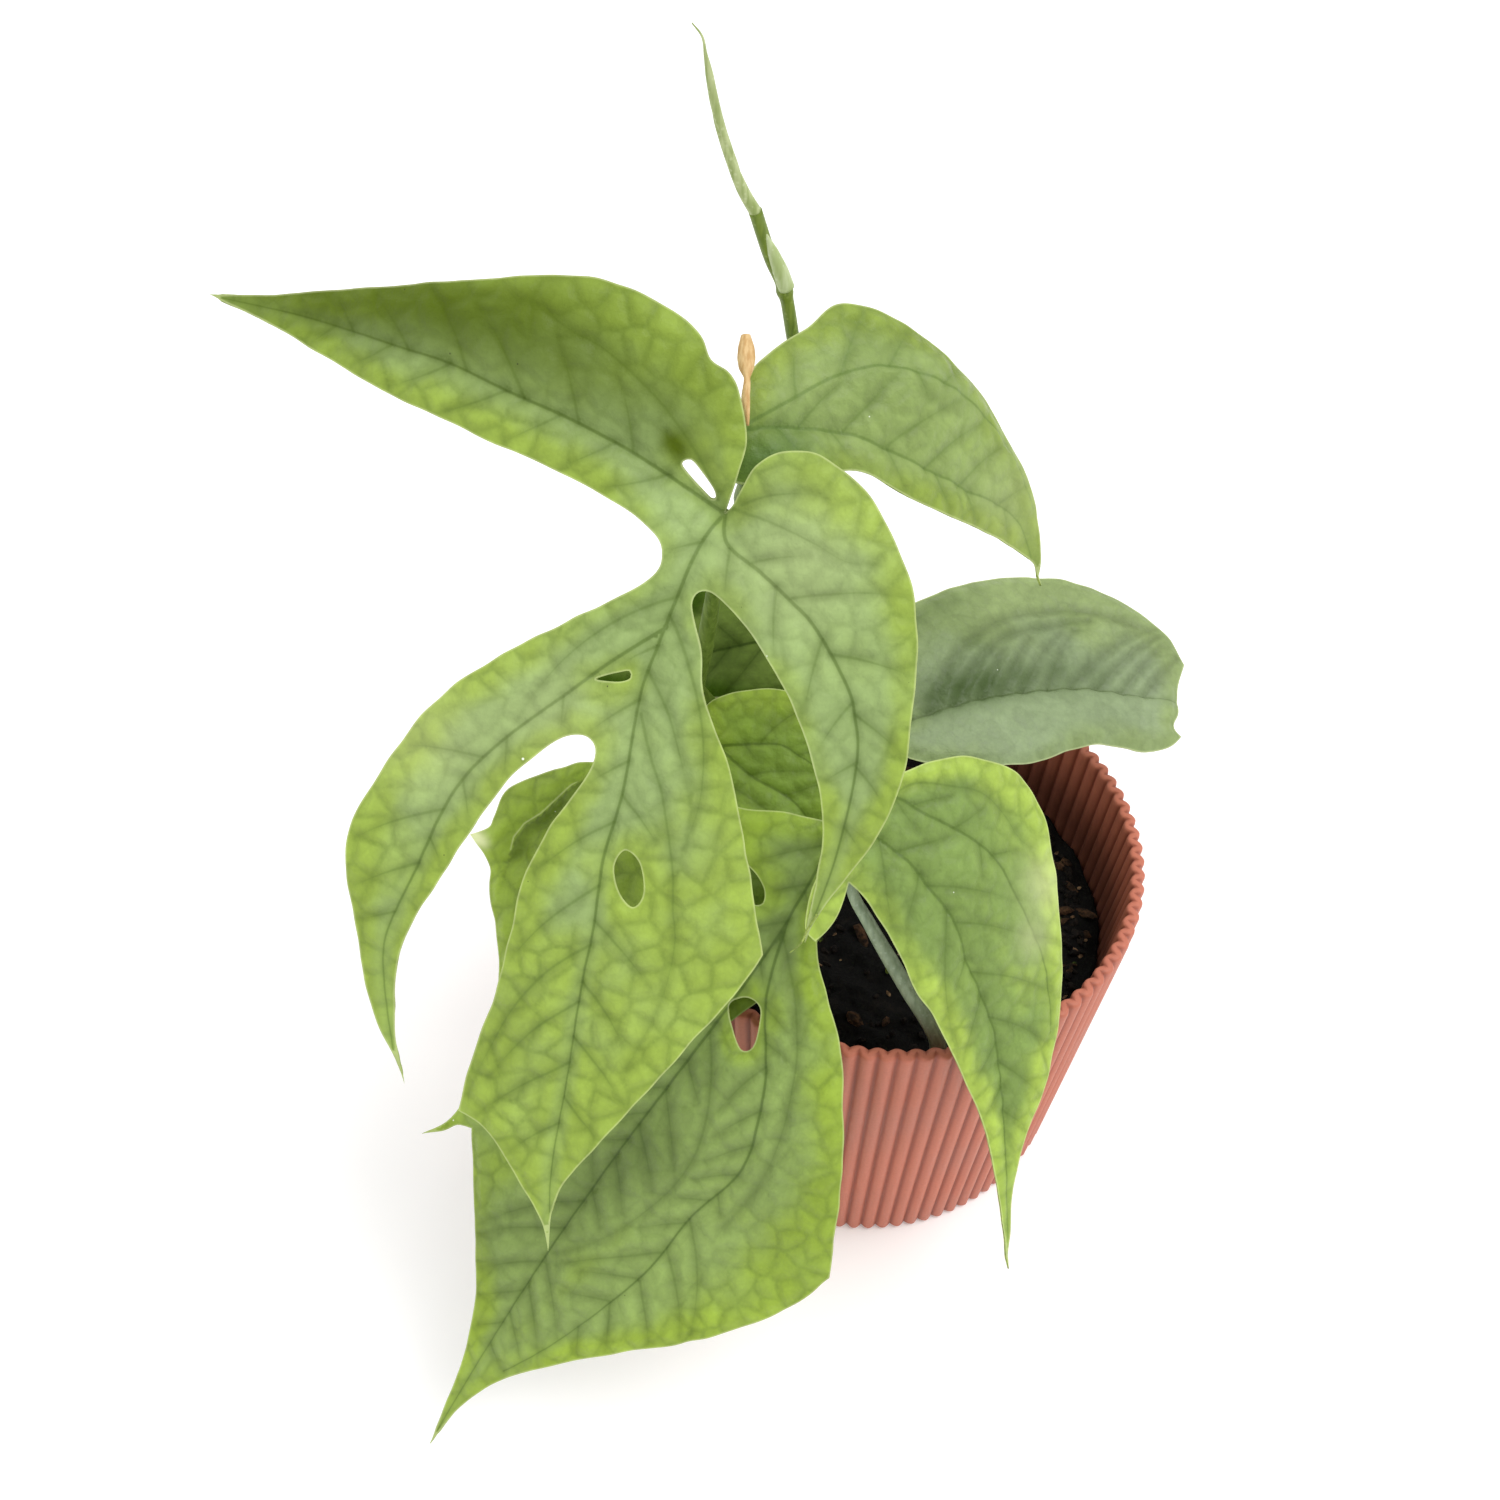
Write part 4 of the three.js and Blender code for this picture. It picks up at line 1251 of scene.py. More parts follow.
def make_leaves() -> list[Leaf]:
    """Measures of the seven leaves.

    Returns:
        The leaves, from the largest to the one hidden deepest.
    """
    front_foot = [(13.6, -55.6, 60.3), (13.6, -55.6, 80)]
    back_foot = [(9, 14, 60.3), (9, 14, 84)]
    return [
        Leaf(
            name="large_lobed_leaf",
            node="leaf_large_lobed",
            base=(-46, -36, 248),
            heading=-105,
            drop=48,
            roll=-8,
            length=158,
            droop=10,
            swells=[(-20, -108, 30, -14), (-20, -50, 24, 5), (128, -42, 22, -9), (85, 38, 22, -12),
                    (10, 30, 20, 4), (70, 0, 26, 4)],
            outline=[
                [(0, 0), (-8, 1.2), (-15, 1.2), (-22, -1.5), (-26.6, -4.8), (-28.3, -8.9), (-32.1, -12),
                 (-35.8, -18.9), (-38, -28), (-38, -37), (-34, -54), (-27, -82), (-19, -116)],
                [(-19, -116), (-15, -98), (-9, -78), (-4, -54), (1, -29), (6, -15), (11, -10), (17, -12),
                 (27, -24), (38, -37), (50, -48), (66, -56), (83, -61), (103, -56), (120, -51), (136, -41)],
                [(136, -41), (126, -45), (110, -47), (99, -45), (86, -40), (66, -32), (54, -24), (50, -17),
                 (55, -14), (70, -20), (82, -23), (97, -24), (110, -24.8), (119, -26.5), (128, -27.4),
                 (138, -28)],
                [(138, -28), (140, -21), (149, -11), (156, -5), (163, -2)],
                [(163, -2), (153, -3), (145, -1), (135, 4), (120, 12), (107, 19), (96, 25), (88, 28)],
                [(88, 28), (80, 25), (61, 18), (48, 12), (37, 5), (28, 2), (19, -2), (16, 1), (20, 8),
                 (26, 15), (38, 25), (54, 33), (66, 35), (84, 36)],
                [(84, 36), (73, 39), (58, 45), (44, 47), (31, 46), (15, 43), (3, 38), (-9, 28), (-14.8, 17),
                 (-14.4, 9.4), (-10.6, 4.4), (-5.3, 2.4), (-1.6, 1.2), (0, 0)],
            ],
            holes=[
                [(-7.2, -10.3), (-8.4, -8.7), (-6.6, -6.1), (-3.9, -3.2), (-2.3, -2.5), (-1.9, -3.3),
                 (-3.2, -5.3), (-5, -7.8)],
                [(38.4, -17.5), (38.2, -15), (37.6, -12.3), (36.5, -10.7), (35.2, -11.2), (35.9, -13.1),
                 (37.1, -15.5)],
                [(71, -4), (75, -5.5), (80, -3.5), (82.5, 0), (79, 1.5), (73, -0.5)],
            ],
            creases=[
                Crease(2, 5, ((0, 0), (17, -5), (40, -8), (74, -8), (102, -7), (144, -5), (162, -2))),
                Crease(1.5, 5, ((25, -6), (42, -22), (62, -38), (87, -46), (113, -49), (135, -41))),
                Crease(4, 9, ((0, -1), (-8, -23), (-13, -46), (-17, -71), (-19, -94), (-19, -115))),
                Crease(2, 5, ((0, 0), (10, 10), (18, 23), (34, 35), (50, 38), (84, 36))),
            ],
            main_veins=[
                [(0, 0), (7, -3), (17, -5), (30, -7), (40, -8), (59, -7), (74, -8), (89, -7), (102, -7),
                 (123, -6), (144, -5), (162, -2)],
                [(25, -6), (34, -15), (42, -22), (56, -34), (68, -41), (87, -46), (106, -50), (129, -45),
                 (135, -41)],
                [(0, -1), (-5, -14), (-8, -23), (-11, -35), (-13, -46), (-16, -60), (-17, -71), (-19, -94),
                 (-19, -115)],
                [(0, 0), (6, 2), (10, 10), (14, 17), (18, 23), (28, 32), (34, 35), (40, 37), (50, 38),
                 (64, 38), (76, 37), (84, 36)],
            ],
            minor_veins=[
                [(-2, -2), (-9, -7), (-18, -17), (-25, -29), (-27, -36), (-30, -45), (-30, -62)],
                [(-1, 1), (0, 10), (2, 19), (4, 26), (3, 32)],
                [(-2, 3), (-5, 8), (-7, 15), (-7, 19)],
                [(43, -7), (51, -3), (58, 1), (72, 6), (81, 8), (89, 10), (100, 10), (110, 8), (117, 6)],
                [(-12.8, -14.6), (-10.1, -13.4), (-8.4, -12), (-7, -10.2)],
            ],
            petiole=[(-12.5, 9, 138.5), (-25.4, 9, 137.4), (-39.7, 8.5, 138.3), (-47.9, 9.2, 142.9),
                     (-51.6, 8.6, 148.5), (-52.1, 2, 157.2), (-51.5, -2, 167.1), (-50, -6.3, 180.7),
                     (-48.7, -11.6, 197.4), (-47.4, -21.6, 221.9)],
            radii=[2.3, 2.1, 2.1, 2.1],
            hairs=[[(77, 37.2), (81, 36), (84, 35.4), (86.5, 33.5)]],
            finish=LOBED_BLADE,
            stalk_finish=OLIVE_STALK,
            silver_spots=[(20, 0, 22, 0.5), (30, 25, 16, 0.3)],
            # Painted shade on the upper-left lobe, which faces away from the light, and near the centre; two
            # small dark spots by the small slit stand for something olive behind it
            painted_shade_spots=[(-16, -14, 8, 0.4), (-20, -30, 8, 0.5), (-24, -46, 8, 0.62), (-26, -62, 8, 0.75),
                         (-26, -78, 8, 0.75), (-23, -94, 7, 0.7), (-20, -108, 6, 0.55), (-34, -30, 8, 0.3),
                         (-33, -46, 6, 0.2), (-27, -10, 6, 0.25), (-14, 0, 6, 0.15), (-11, -13, 1.6, 0.6),
                         (-9.4, -11, 1.3, 0.5), (26, -8, 11, 0.13), (60, -30, 12, 0.06)],
            # Painted highlights where the lobes face the light
            pale_and_highlight_spots=[(58, -50, 9, 0.14), (48, -24, 9, 0.08), (6, 17, 10, 0.1)],
            silver_fade=(72, 118),
            quilt=1.35,
            cell=6.6,
            seed=3,
        ),
        Leaf(
            name="upper_right_leaf",
            node="leaf_upper_right",
            base=(-42, -23, 258),
            heading=6,
            drop=32,
            roll=29,
            length=80,
            droop=6,
            swells=[(78, 2, 16, -6), (35, 26, 14, 4), (10, 25, 14, -2), (0, -8, 4.5, -6.5)],
            outline=[
                [(0, 0), (-2, 6), (-2, 13), (3, 22), (8, 28), (13, 36), (21, 39), (30, 39), (42, 36),
                 (55, 33), (68, 27), (79, 19), (85, 12), (88, 6)],
                [(88, 6), (84, 10), (76, 10), (66, 9), (53, 6), (39, 4), (28, 4), (16, -3), (10, -6.5),
                 (5, -8.4), (1, -7.6), (-1, -4), (0, 0)],
            ],
            creases=[
                Crease(2, 6, ((0, 0), (8, 5), (21, 10), (43, 12), (73, 16), (87, 8))),
                Crease(-3, 9, ((7, 10), (20, 23), (37, 29), (54, 29), (69, 24), (77, 19))),
            ],
            main_veins=[
                [(0, 1), (8, 5), (21, 10), (29, 11), (43, 12), (56, 14), (73, 16), (87, 8)],
                [(0, 2), (7, 10), (14, 18), (20, 23), (28, 27), (45, 29), (61, 28), (69, 24), (77, 19)],
            ],
            petiole=[(-24.5, 7, 205), (-35.4, -7, 219), (-42.9, -15.5, 232.8), (-41.8, -19.5, 243.9),
                     (-41.4, -21.5, 251.8)],
            radii=[2, 1.6, 1.5],
            finish=UPPER_BLADE,
            silver_spots=[(25, 10, 16, 0.3)],
            # Painted shade on the lower part near the base
            painted_shade_spots=[(22, 30, 9, 0.12), (4, -4, 5, 0.6), (12, 1, 5, 0.35)],
            # Painted highlight near the tip
            pale_and_highlight_spots=[(72, 18, 8, 0.1)],
            cell=5.8,
            grid=0.75,
            seed=5,
        ),
        Leaf(
            name="shaded_middle_leaf",
            node="leaf_shaded_middle",
            base=(-48.5, -3, 142.1),
            heading=-87,
            drop=29.4,
            roll=7.6,
            length=74,
            droop=3,
            swells=[(35, 40, 18, -4)],
            outline=[
                [(0, 0), (-5.5, -1.5), (-11, -0.5), (-13.5, 5), (-14.5, 13), (-14, 20), (-11, 28), (-5, 33),
                 (3, 36), (14, 37), (27, 36), (39, 34), (49, 28), (58, 20), (65, 12), (70, 5)],
                [(70, 5), (65, -1), (57, -10), (46, -17), (32, -22), (16, -23), (4, -20), (-4, -14), (-6, -8),
                 (-4, -3), (0, 0)],
            ],
            creases=[
                Crease(1.5, 5, ((0, 0), (7, 3), (17, 5), (44, 6), (70, 5))),
                Crease(1.2, 5, ((1, 3), (8, 11), (14, 21), (22, 27), (32, 32))),
            ],
            main_veins=[
                [(0, 0), (7, 3), (17, 5), (29, 6), (44, 6), (59, 5), (70, 5)],
                [(1, 3), (8, 11), (14, 21), (22, 27), (32, 32)],
                [(0, 3), (0, 17), (3, 23), (5, 26), (9, 31)],
            ],
            petiole=[(-8.3, 10, 118.5), (-16.8, 0.5, 127.8), (-32.5, -1.3, 131.6), (-43.5, -1.9, 136.4)],
            radii=[2, 1.6, 1.5],
            finish=MIDDLE_BLADE,
            # Painted shade towards the tip
            painted_shade_spots=[(62, 10, 14, 0.25)],
            grid=0.75,
            cell=5.4,
            vein_spacing=10.0,
            seed=7,
        ),
        Leaf(
            name="bottom_leaf",
            node="leaf_bottom",
            base=(-15, -33, 150),
            heading=-131,
            drop=41,
            roll=-16,
            length=188,
            droop=12,
            swells=[(40, -76, 16, -5), (110, -42, 18, -6), (110, 50, 22, -7), (60, 20, 24, 4),
                    (80, -30, 24, 4)],
            outline=[
                [(0, 0), (2, -4), (6, -14), (11, -23), (15, -43), (23, -61), (29, -67), (38, -74),
                 (43, -76), (49, -75), (52, -74.5), (56, -77.5)],
                [(56, -77.5), (57, -74), (58, -71), (60.2, -67.8), (64, -65), (71, -58), (80, -51),
                 (91, -46), (100, -47), (106, -45.3), (112, -42.8), (118.5, -42.7), (124, -44.2),
                 (128.5, -46.8)],
                [(128.5, -46.8), (124.8, -43), (121, -40.6), (119.5, -37)],
                [(119.5, -37), (130, -29), (142, -20), (153, -13), (165, -8), (178, -5), (197, -2)],
                [(197, -2), (187, -1), (178, 1), (167, 6), (155, 15), (143, 26), (132, 37), (120, 47),
                 (106, 55), (95, 58)],
                [(95, 58), (86, 54), (71, 47), (56, 38), (45, 30), (37, 21), (30, 13), (22, 8), (10, 6),
                 (0, 0)],
            ],
            holes=[
                [(48, 4), (52, 1.5), (56, 5.5), (59, 10), (57, 12), (52, 10.5), (48, 8)],
                [(22, -15), (22, -11), (24, -7), (27, -5.5), (28.5, -7.5), (27, -12)],
            ],
            creases=[
                Crease(2, 5, ((0, 0), (34, 2), (63, 1), (107, -2), (145, -3), (196, -2))),
                Crease(1.5, 5, ((28, 2), (45, 8), (66, 21), (84, 26), (103, 22), (136, 16), (167, 4))),
                Crease(2.5, 4, ((24, -57.5), (30, -58.5), (36, -60.5), (42, -62), (47, -64), (53, -63))),
            ],
            folds=[
                Fold(1.1, 9, ((24, -60.8), (28, -60.6), (31, -62.1), (37, -63.8), (41.5, -65),
                              (46, -67.2), (50, -67.4), (53, -66.2))),
            ],
            main_veins=[
                [(0, 0), (34, 2), (63, 1), (107, -2), (145, -3), (195, -2)],
                [(28, 2), (45, 8), (57, 16), (66, 21), (84, 26), (103, 22), (123, 20), (149, 12), (167, 4)],
            ],
            petiole=[(-6, 10, 106), (7, -8, 112), (6, -23, 130), (-4, -31, 145)],
            radii=[2.3, 1.8, 1.7, 1.8],
            finish=BOTTOM_BLADE,
            silver_spots=[(75, -8, 26, 0.45), (100, 8, 20, 0.3), (112, -32, 9, 0.5), (138, -16, 9, 0.5)],
            # Painted shade and painted shadow of the large leaf above, also where its hole shows this leaf
            painted_shade_spots=[(38, -70, 9, 0.2), (55, -35, 16, 0.15), (41, -38, 7, 0.4), (93, 3, 8, 0.42),
                         (108, -2, 7, 0.38), (122, -3, 7, 0.25), (138, -15, 12, 0.2), (84, 42, 10, 0.12),
                         (52, 4, 6, 0.3), (70, 1, 7, 0.3)],
            # The pale colour of the curled tip, whose underside shows
            pale_and_highlight_spots=[(56, -77, 1.3, 0.9), (55.7, -74.8, 1.3, 0.75), (55.3, -72.6, 1.2, 0.5)],
            cell=6.4,
            pleat=1.7,
            vein_spacing=10.0,
            seed=11,
        ),
        Leaf(
            name="lower_right_leaf",
            node="leaf_lower_right",
            base=(-12, -44, 165),
            heading=-52,
            drop=49,
            roll=6,
            length=124,
            droop=8,
            swells=[(20, 44, 16, -5), (30, 18, 18, 4), (20, -18, 10, -5), (70, 30, 16, -2)],
            outline=[
                [(0, 0), (-5, 6), (-5, 18), (-3, 29), (2, 37), (9, 44), (20, 47), (32, 45), (53, 39),
                 (66, 35), (77, 29), (86, 22), (94, 14), (105, 7), (125, -1)],
                [(125, -1), (113, 1), (100, 3), (84, 4), (70, 3), (55, 1), (42, -2), (28, -3), (18, -5),
                 (13, -7)],
                [(13, -7), (19, -11), (22, -15), (23, -19)],
                [(23, -19), (19, -20), (13, -17), (7, -12), (2, -5), (0, 0)],
            ],
            creases=[
                Crease(1.8, 5, ((0, 0), (15, 8), (32, 13), (65, 15), (76, 13), (94, 8), (124, 0))),
                Crease(1.2, 5, ((0, 3), (6, 16), (23, 29), (41, 32), (63, 32))),
            ],
            main_veins=[
                [(0, 0), (6, 3), (15, 8), (22, 10), (32, 13), (43, 13), (51, 14), (65, 15), (76, 13),
                 (94, 8), (122, 0)],
                [(0, 3), (-1, 10), (6, 16), (14, 23), (23, 29), (33, 31), (41, 32), (50, 33), (63, 32),
                 (72, 29)],
            ],
            minor_veins=[
                [(0, 3), (-2, 15), (3, 25), (8, 32), (15, 36), (23, 38), (28, 40), (40, 38)],
            ],
            petiole=[*front_foot, (13.7, -56.8, 94), (3.4, -53.8, 114.3), (-6.9, -50.3, 133.5),
                     (-12.6, -48.2, 146)],
            radii=[2.4, 2.2, 2, 1.9],
            finish=LOWER_BLADE,
            stalk_finish=PALE_STALK,
            silver_spots=[(20, 10, 16, 0.35)],
            # Painted highlights on the right margin, which faces the light
            pale_and_highlight_spots=[(36, 40, 5, 0.34), (47, 32, 4, 0.25)],
            quilt=1.2,
            cell=6.0,
            grid=0.75,
            seed=13,
        ),
        Leaf(
            name="back_silver_leaf",
            node="leaf_back_silver",
            base=(1, 1, 151),
            heading=10,
            drop=10,
            roll=17,
            length=76,
            droop=4,
            swells=[(70, -5, 12, -4), (40, 42, 18, -4), (25, 20, 16, 4)],
            outline=[
                [(0, 0), (-4, 7), (-6, 17), (-3, 27), (3, 32.5), (12.4, 37.7), (18, 40.4), (24.2, 43.1),
                 (32, 45.8), (46, 48), (59, 46), (71, 40), (80, 32), (84, 24)],
                [(84, 24), (81, 17), (80, 10), (78, 6), (80, 3)],
                [(80, 3), (76, 0), (68, -2), (55, -2), (45, -5), (36, -9), (26, -11), (13, -11.5), (2, -11),
                 (-4, -7), (-4, -2), (0, 0)],
            ],
            creases=[Crease(1.8, 6, ((0, 0), (17, 6), (33, 10), (54, 14), (80, 13)))],
            main_veins=[[(0, 0), (17, 6), (33, 10), (54, 14), (81, 13)]],
            petiole=[*back_foot, (6, 8, 112), (0, 2, 134)],
            radii=[2.2, 2, 1.8, 1.8],
            finish=BACK_BLADE,
            silver_spots=[(45, -2, 18, 0.4), (20, -2, 14, 0.3)],
            # Painted shade: a dark band above the midrib fold and dark dashes between the pleats
            painted_shade_spots=[(6, 6, 4, 0.6), (14, 9, 4, 0.75), (23, 11, 4.2, 0.75), (33, 14, 4, 0.62),
                         (44, 17, 4, 0.5), (56, 18, 4, 0.35), (14, 26, 8, 0.3), (5, 29, 2.6, 0.35),
                         (11, 33, 2.4, 0.32), (17, 36, 2.2, 0.3), (24, 39, 2.4, 0.26), (22, 22, 3, 0.25),
                         (31, 27, 3, 0.25), (41, 30, 2.6, 0.3), (52, 34, 2.8, 0.28), (49, 4, 16, 0.14)],
            slot="older_leaf",
            quilt=0.2,
            pleat=2.0,
            plain_side=-1,
            grid=0.75,
            cell=5.2,
            vein_spacing=7.0,
            seed=17,
        ),
        Leaf(
            name="shaded_inner_leaf",
            node="leaf_shaded_inner",
            base=(-24, 23.5, 155.5),
            heading=176,
            drop=16,
            roll=-36,
            length=67,
            droop=3,
            swells=[(30, -18, 14, -3)],
            outline=[
                [(0, 0), (2, -11), (10, -20), (22, -25), (31, -19), (39, -12), (47, -7), (57, -3), (68, 0)],
                [(68, 0), (60, 6), (50, 10), (39, 12), (27, 13), (16, 14), (7, 14), (1, 9), (0, 0)],
            ],
            creases=[Crease(1.5, 5, ((0, 0), (25, 0), (41, 3), (67, 0)))],
            main_veins=[[(0, 0), (11, -1), (25, 0), (41, 3), (58, 2), (67, 0)]],
            petiole=[(-14.5, 9, 153), (-17, 14, 157), (-20, 18, 158)],
            radii=[1.9, 1.5, 1.4],
            finish=INNER_BLADE,
            # Painted shade on the left part, deep behind the large leaf
            painted_shade_spots=[(24, 2, 6, 0.6)],
            silver_spots=[(10, 6, 8, 0.8)],
            grid=0.75,
            cell=5.4,
            seed=19,
        ),
    ]


# Pot


@dataclass
class Pot:
    """Fluted pot, whose inner flutes are staggered by half a flute."""

    height: float = 105
    rim_radius: float = 70
    base_radius: float = 61.5
    wall: float = 3.6
    floor: float = 4
    flutes: int = 90
    flute_depth: float = 1.4
    inner_depth: float = 1.0
    points: int = 10
    drain_holes: int = 5
    drain_radius: float = 4.5
    drain_circle: float = 34
    drain_sides: int = 24
    outer_rows: tuple[Point2, ...] = (
        (0.3, 0.35), (1, 0), (20, 0), (50, 0), (80, 0), (101, 0), (103.6, 0), (104.4, 0.15), (104.8, 0.45),
        (105, 0.95),
    )
    inner_rows: tuple[Point2, ...] = (
        (105, 0.75), (104.8, 0.35), (104.4, 0.1), (103.4, 0), (98, 0), (92, 0), (86, 0), (80, 0), (40, 0),
    )
    start_radius: float = 50
    foot_inset: float = 0.9
    # Painted shade on the inner wall, from below the rim down to the soil
    painted_wall_shade_span: Point2 = (101, 80)
    painted_wall_shade_share: float = 0.75

    def radius(self, z: float) -> float:
        """Radius over the crests at a height."""
        return self.base_radius + (self.rim_radius - self.base_radius) * z / self.height

    def outer(self, angle: float, z: float, inset: float) -> tuple[float, float]:
        """Outer radius and crest share at an angle, inset by the rounding of an edge."""
        turn = (angle / (2 * math.pi) * self.flutes) % 1
        crest = math.sin(math.pi * turn)
        return self.radius(z) + self.flute_depth * (crest - 1) - inset, crest

    def inner(self, angle: float, z: float, inset: float) -> tuple[float, float]:
        """Inner radius and crest share at an angle."""
        turn = (angle / (2 * math.pi) * self.flutes + 0.5) % 1
        crest = math.sin(math.pi * turn)
        radius = self.radius(z) - self.wall + self.inner_depth / 2 - self.inner_depth * crest + inset
        return radius, crest

    def ring(self, bm, edges, wall, z: float, inset: float):
        """Extrudes a loop of edges to the next ring of the wall.

        Args:
            bm: Mesh of the pot.
            edges: The loop to extrude.
            wall: Method that gives the radius and crest share at an angle.
            z: Height of the new ring.
            inset: Rounding of the edge there.

        Returns:
            The edges of the new ring.
        """
        verts, loop = next_ring(bm, edges)
        self.settle(bm, verts, wall, z, inset)
        return loop

    def settle(self, bm, verts, wall, z: float, inset: float) -> None:
        """Moves a ring's corners to their radius and marks the crests."""
        crest_layer, painted_wall_shade_layer = bm.verts.layers.float["crest"], bm.verts.layers.float["painted_wall_shade"]
        painted_wall_shade = ease(z, *self.painted_wall_shade_span) if wall == self.inner else 0.0
        for vert in verts:
            angle = math.atan2(vert.co.y, vert.co.x)
            radius, crest = wall(angle, z, inset)
            vert.co = (radius * math.cos(angle), radius * math.sin(angle), z)
            vert[crest_layer] = crest
            vert[painted_wall_shade_layer] = self.painted_wall_shade_share * painted_wall_shade

    def drains(self, bm, z: float) -> list:
        """Adds the rims of the drain holes at a height."""
        rims = []
        for i in range(self.drain_holes):
            angle = 2 * math.pi * (i + 0.5) / self.drain_holes
            spot = Vector((self.drain_circle * math.cos(angle), self.drain_circle * math.sin(angle), z))
            circle = bmesh.ops.create_circle(
                bm, segments=self.drain_sides, radius=self.drain_radius, matrix=Matrix.Translation(spot)
            )["verts"]
            rims.append(edges_of(circle))
        return rims

    def build(self):
        """Builds the pot in place of its node."""
        bm = bmesh.new()
        for name in ("crest", "painted_wall_shade"):
            bm.verts.layers.float.new(name)
        sides = self.flutes * self.points
        start = bmesh.ops.create_circle(bm, segments=sides, radius=self.start_radius)["verts"]
        edges = base = edges_of(start)
        self.settle(bm, start, self.outer, 0, self.foot_inset)
        for wall, rows in ((self.outer, self.outer_rows), (self.inner, (*self.inner_rows, (self.floor, 0)))):
            for z, inset in rows:
                edges = self.ring(bm, edges, wall, z, inset)
        low, high = self.drains(bm, 0), self.drains(bm, self.floor)
        bmesh.ops.triangle_fill(bm, use_beauty=True, edges=base + [e for rim in low for e in rim])
        bmesh.ops.triangle_fill(bm, use_beauty=True, edges=edges + [e for rim in high for e in rim])
        for below, above in zip(low, high):
            bmesh.ops.bridge_loops(bm, edges=below + above)
        piece = finished_piece(bm, "fluted_pot", Matrix.Identity(4), [PotFinish().material()])
        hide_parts("pot")
        return piece


# Soil and what lies on it


@dataclass
class Soil:
    """Potting mix: a lumpy dark body with bark chips, pale fibres and moss on it."""

    pot: Pot = field(default_factory=Pot)
    gap: float = 0.3
    top: float = 76
    edge_drop: float = 3
    wall_drop: float = 4
    floor: float = 4.3
    wave_rise: float = 0.96
    lumps: tuple[Point2, ...] = ((0.9, 0.45), (0.8, 0.9), (0.4, 2))
    sides: int = 200
    rings: int = 58
    feet: tuple[tuple[float, float, float], ...] = ((-5, 10, 3.3), (13.6, -55.6, 2.8), (9, 14, 2.6))
    open_side: float = 22
    thinned: float = 0.8
    crumb_margin: float = 3.5
    crumb_tilt: float = 0.5
    crumb_lift: float = 0.2
    crumb_wear: float = 0.09
    fibre_margin: float = 12
    fibre_bend: float = 0.25
    fibre_arch: float = 0.5
    fibre_steps: int = 8

    def radius(self, z: float) -> float:
        """Radius of the soil inside the pot's wall."""
        return self.pot.radius(z) - self.pot.wall - self.pot.inner_depth / 2 - self.gap

    def level(self, x: float, y: float) -> float:
        """Height of the surface."""
        share = math.hypot(x, y) / self.radius(self.top)
        waves = math.sin(0.31 * x + 1.1) * math.cos(0.27 * y - 0.6) + 0.6 * math.sin(0.52 * y + 0.35 * x)
        spot = Vector((x, y, 3.7))
        crumbs = sum(rise * noise.noise(spot * scale) for rise, scale in self.lumps)
        return self.top - self.edge_drop * share**6 + self.wave_rise * waves + crumbs

    def build(self):
        """Builds the soil in place of its node."""
        bm = bmesh.new()
        start = bmesh.ops.create_circle(
            bm, segments=self.sides, radius=self.radius(self.floor), cap_ends=True,
            matrix=Matrix.Translation((0, 0, self.floor)),
        )["verts"]
        edges = edges_of(start)
        rim = self.radius(self.top - self.edge_drop)
        steps = [(rim, False)] + [(rim * (1 - i / self.rings), True) for i in range(self.rings)]
        for radius, surface in steps:
            verts, edges = next_ring(bm, edges)
            for vert in verts:
                angle = math.atan2(vert.co.y, vert.co.x)
                x, y = radius * math.cos(angle), radius * math.sin(angle)
                wall_top = self.top - self.edge_drop - self.wall_drop
                vert.co = (x, y, self.level(x, y) if surface else wall_top)
        bmesh.ops.edgeloop_fill(bm, edges=edges)
        finish = CrumbFinish("potting_mix", (26, 20, 15), (7, 6, 5), 220, 900, (0.5, 0.8))
        piece = finished_piece(bm, "soil_body", Matrix.Identity(4), [finish.material()])
        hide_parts("soil")
        return piece

    def spots(self, stream: random.Random, count: int, margin: float) -> Iterable[Vector]:
        """Yields places on the surface, clear of the wall and of what stands in the soil."""
        while count:
            angle = stream.uniform(0, 2 * math.pi)
            radius = (self.radius(self.top) - margin) * math.sqrt(stream.random())
            x, y = radius * math.cos(angle), radius * math.sin(angle)
            thin = x < self.open_side and stream.random() < self.thinned
            if not thin and all(math.hypot(x - fx, y - fy) > size + 2 for fx, fy, size in self.feet):
                count -= 1
                yield Vector((x, y, self.level(x, y)))

    def crumbs(self, name: str, count: int, size: Point3, spread: float, finish: CrumbFinish, seed: int):
        """Scatters worn angular crumbs over the surface.

        Args:
            name: Name of the piece.
            count: Number of crumbs.
            size: Length, width and height of a middling crumb.
            spread: How far sizes vary, as a share.
            finish: Finish of the crumbs.
            seed: Seed of their places.

        Returns:
            The crumbs as one piece.
        """
        stream = random.Random(seed)
        bm = bmesh.new()
        lean, wear = self.crumb_tilt, self.crumb_wear
        for spot in self.spots(stream, count, self.crumb_margin):
            scale = [side * stream.uniform(1 - spread, 1 + spread) for side in size]
            tilt = Euler((stream.uniform(-lean, lean), stream.uniform(-lean, lean), stream.uniform(0, TURN)))
            middle = spot + Vector((0, 0, scale[2] * self.crumb_lift))
            place = Matrix.Translation(middle) @ tilt.to_matrix().to_4x4()
            place = place @ Matrix.Diagonal((*scale, 1))
            made = bmesh.ops.create_icosphere(bm, subdivisions=1, radius=0.5, matrix=place)["verts"]
            for vert in made:
                vert.co += Vector([stream.uniform(-wear, wear) * side for side in scale])
        piece = finished_piece(bm, name, Matrix.Identity(4), [finish.material()])
        for polygon in piece.data.polygons:
            polygon.use_smooth = False
        return piece

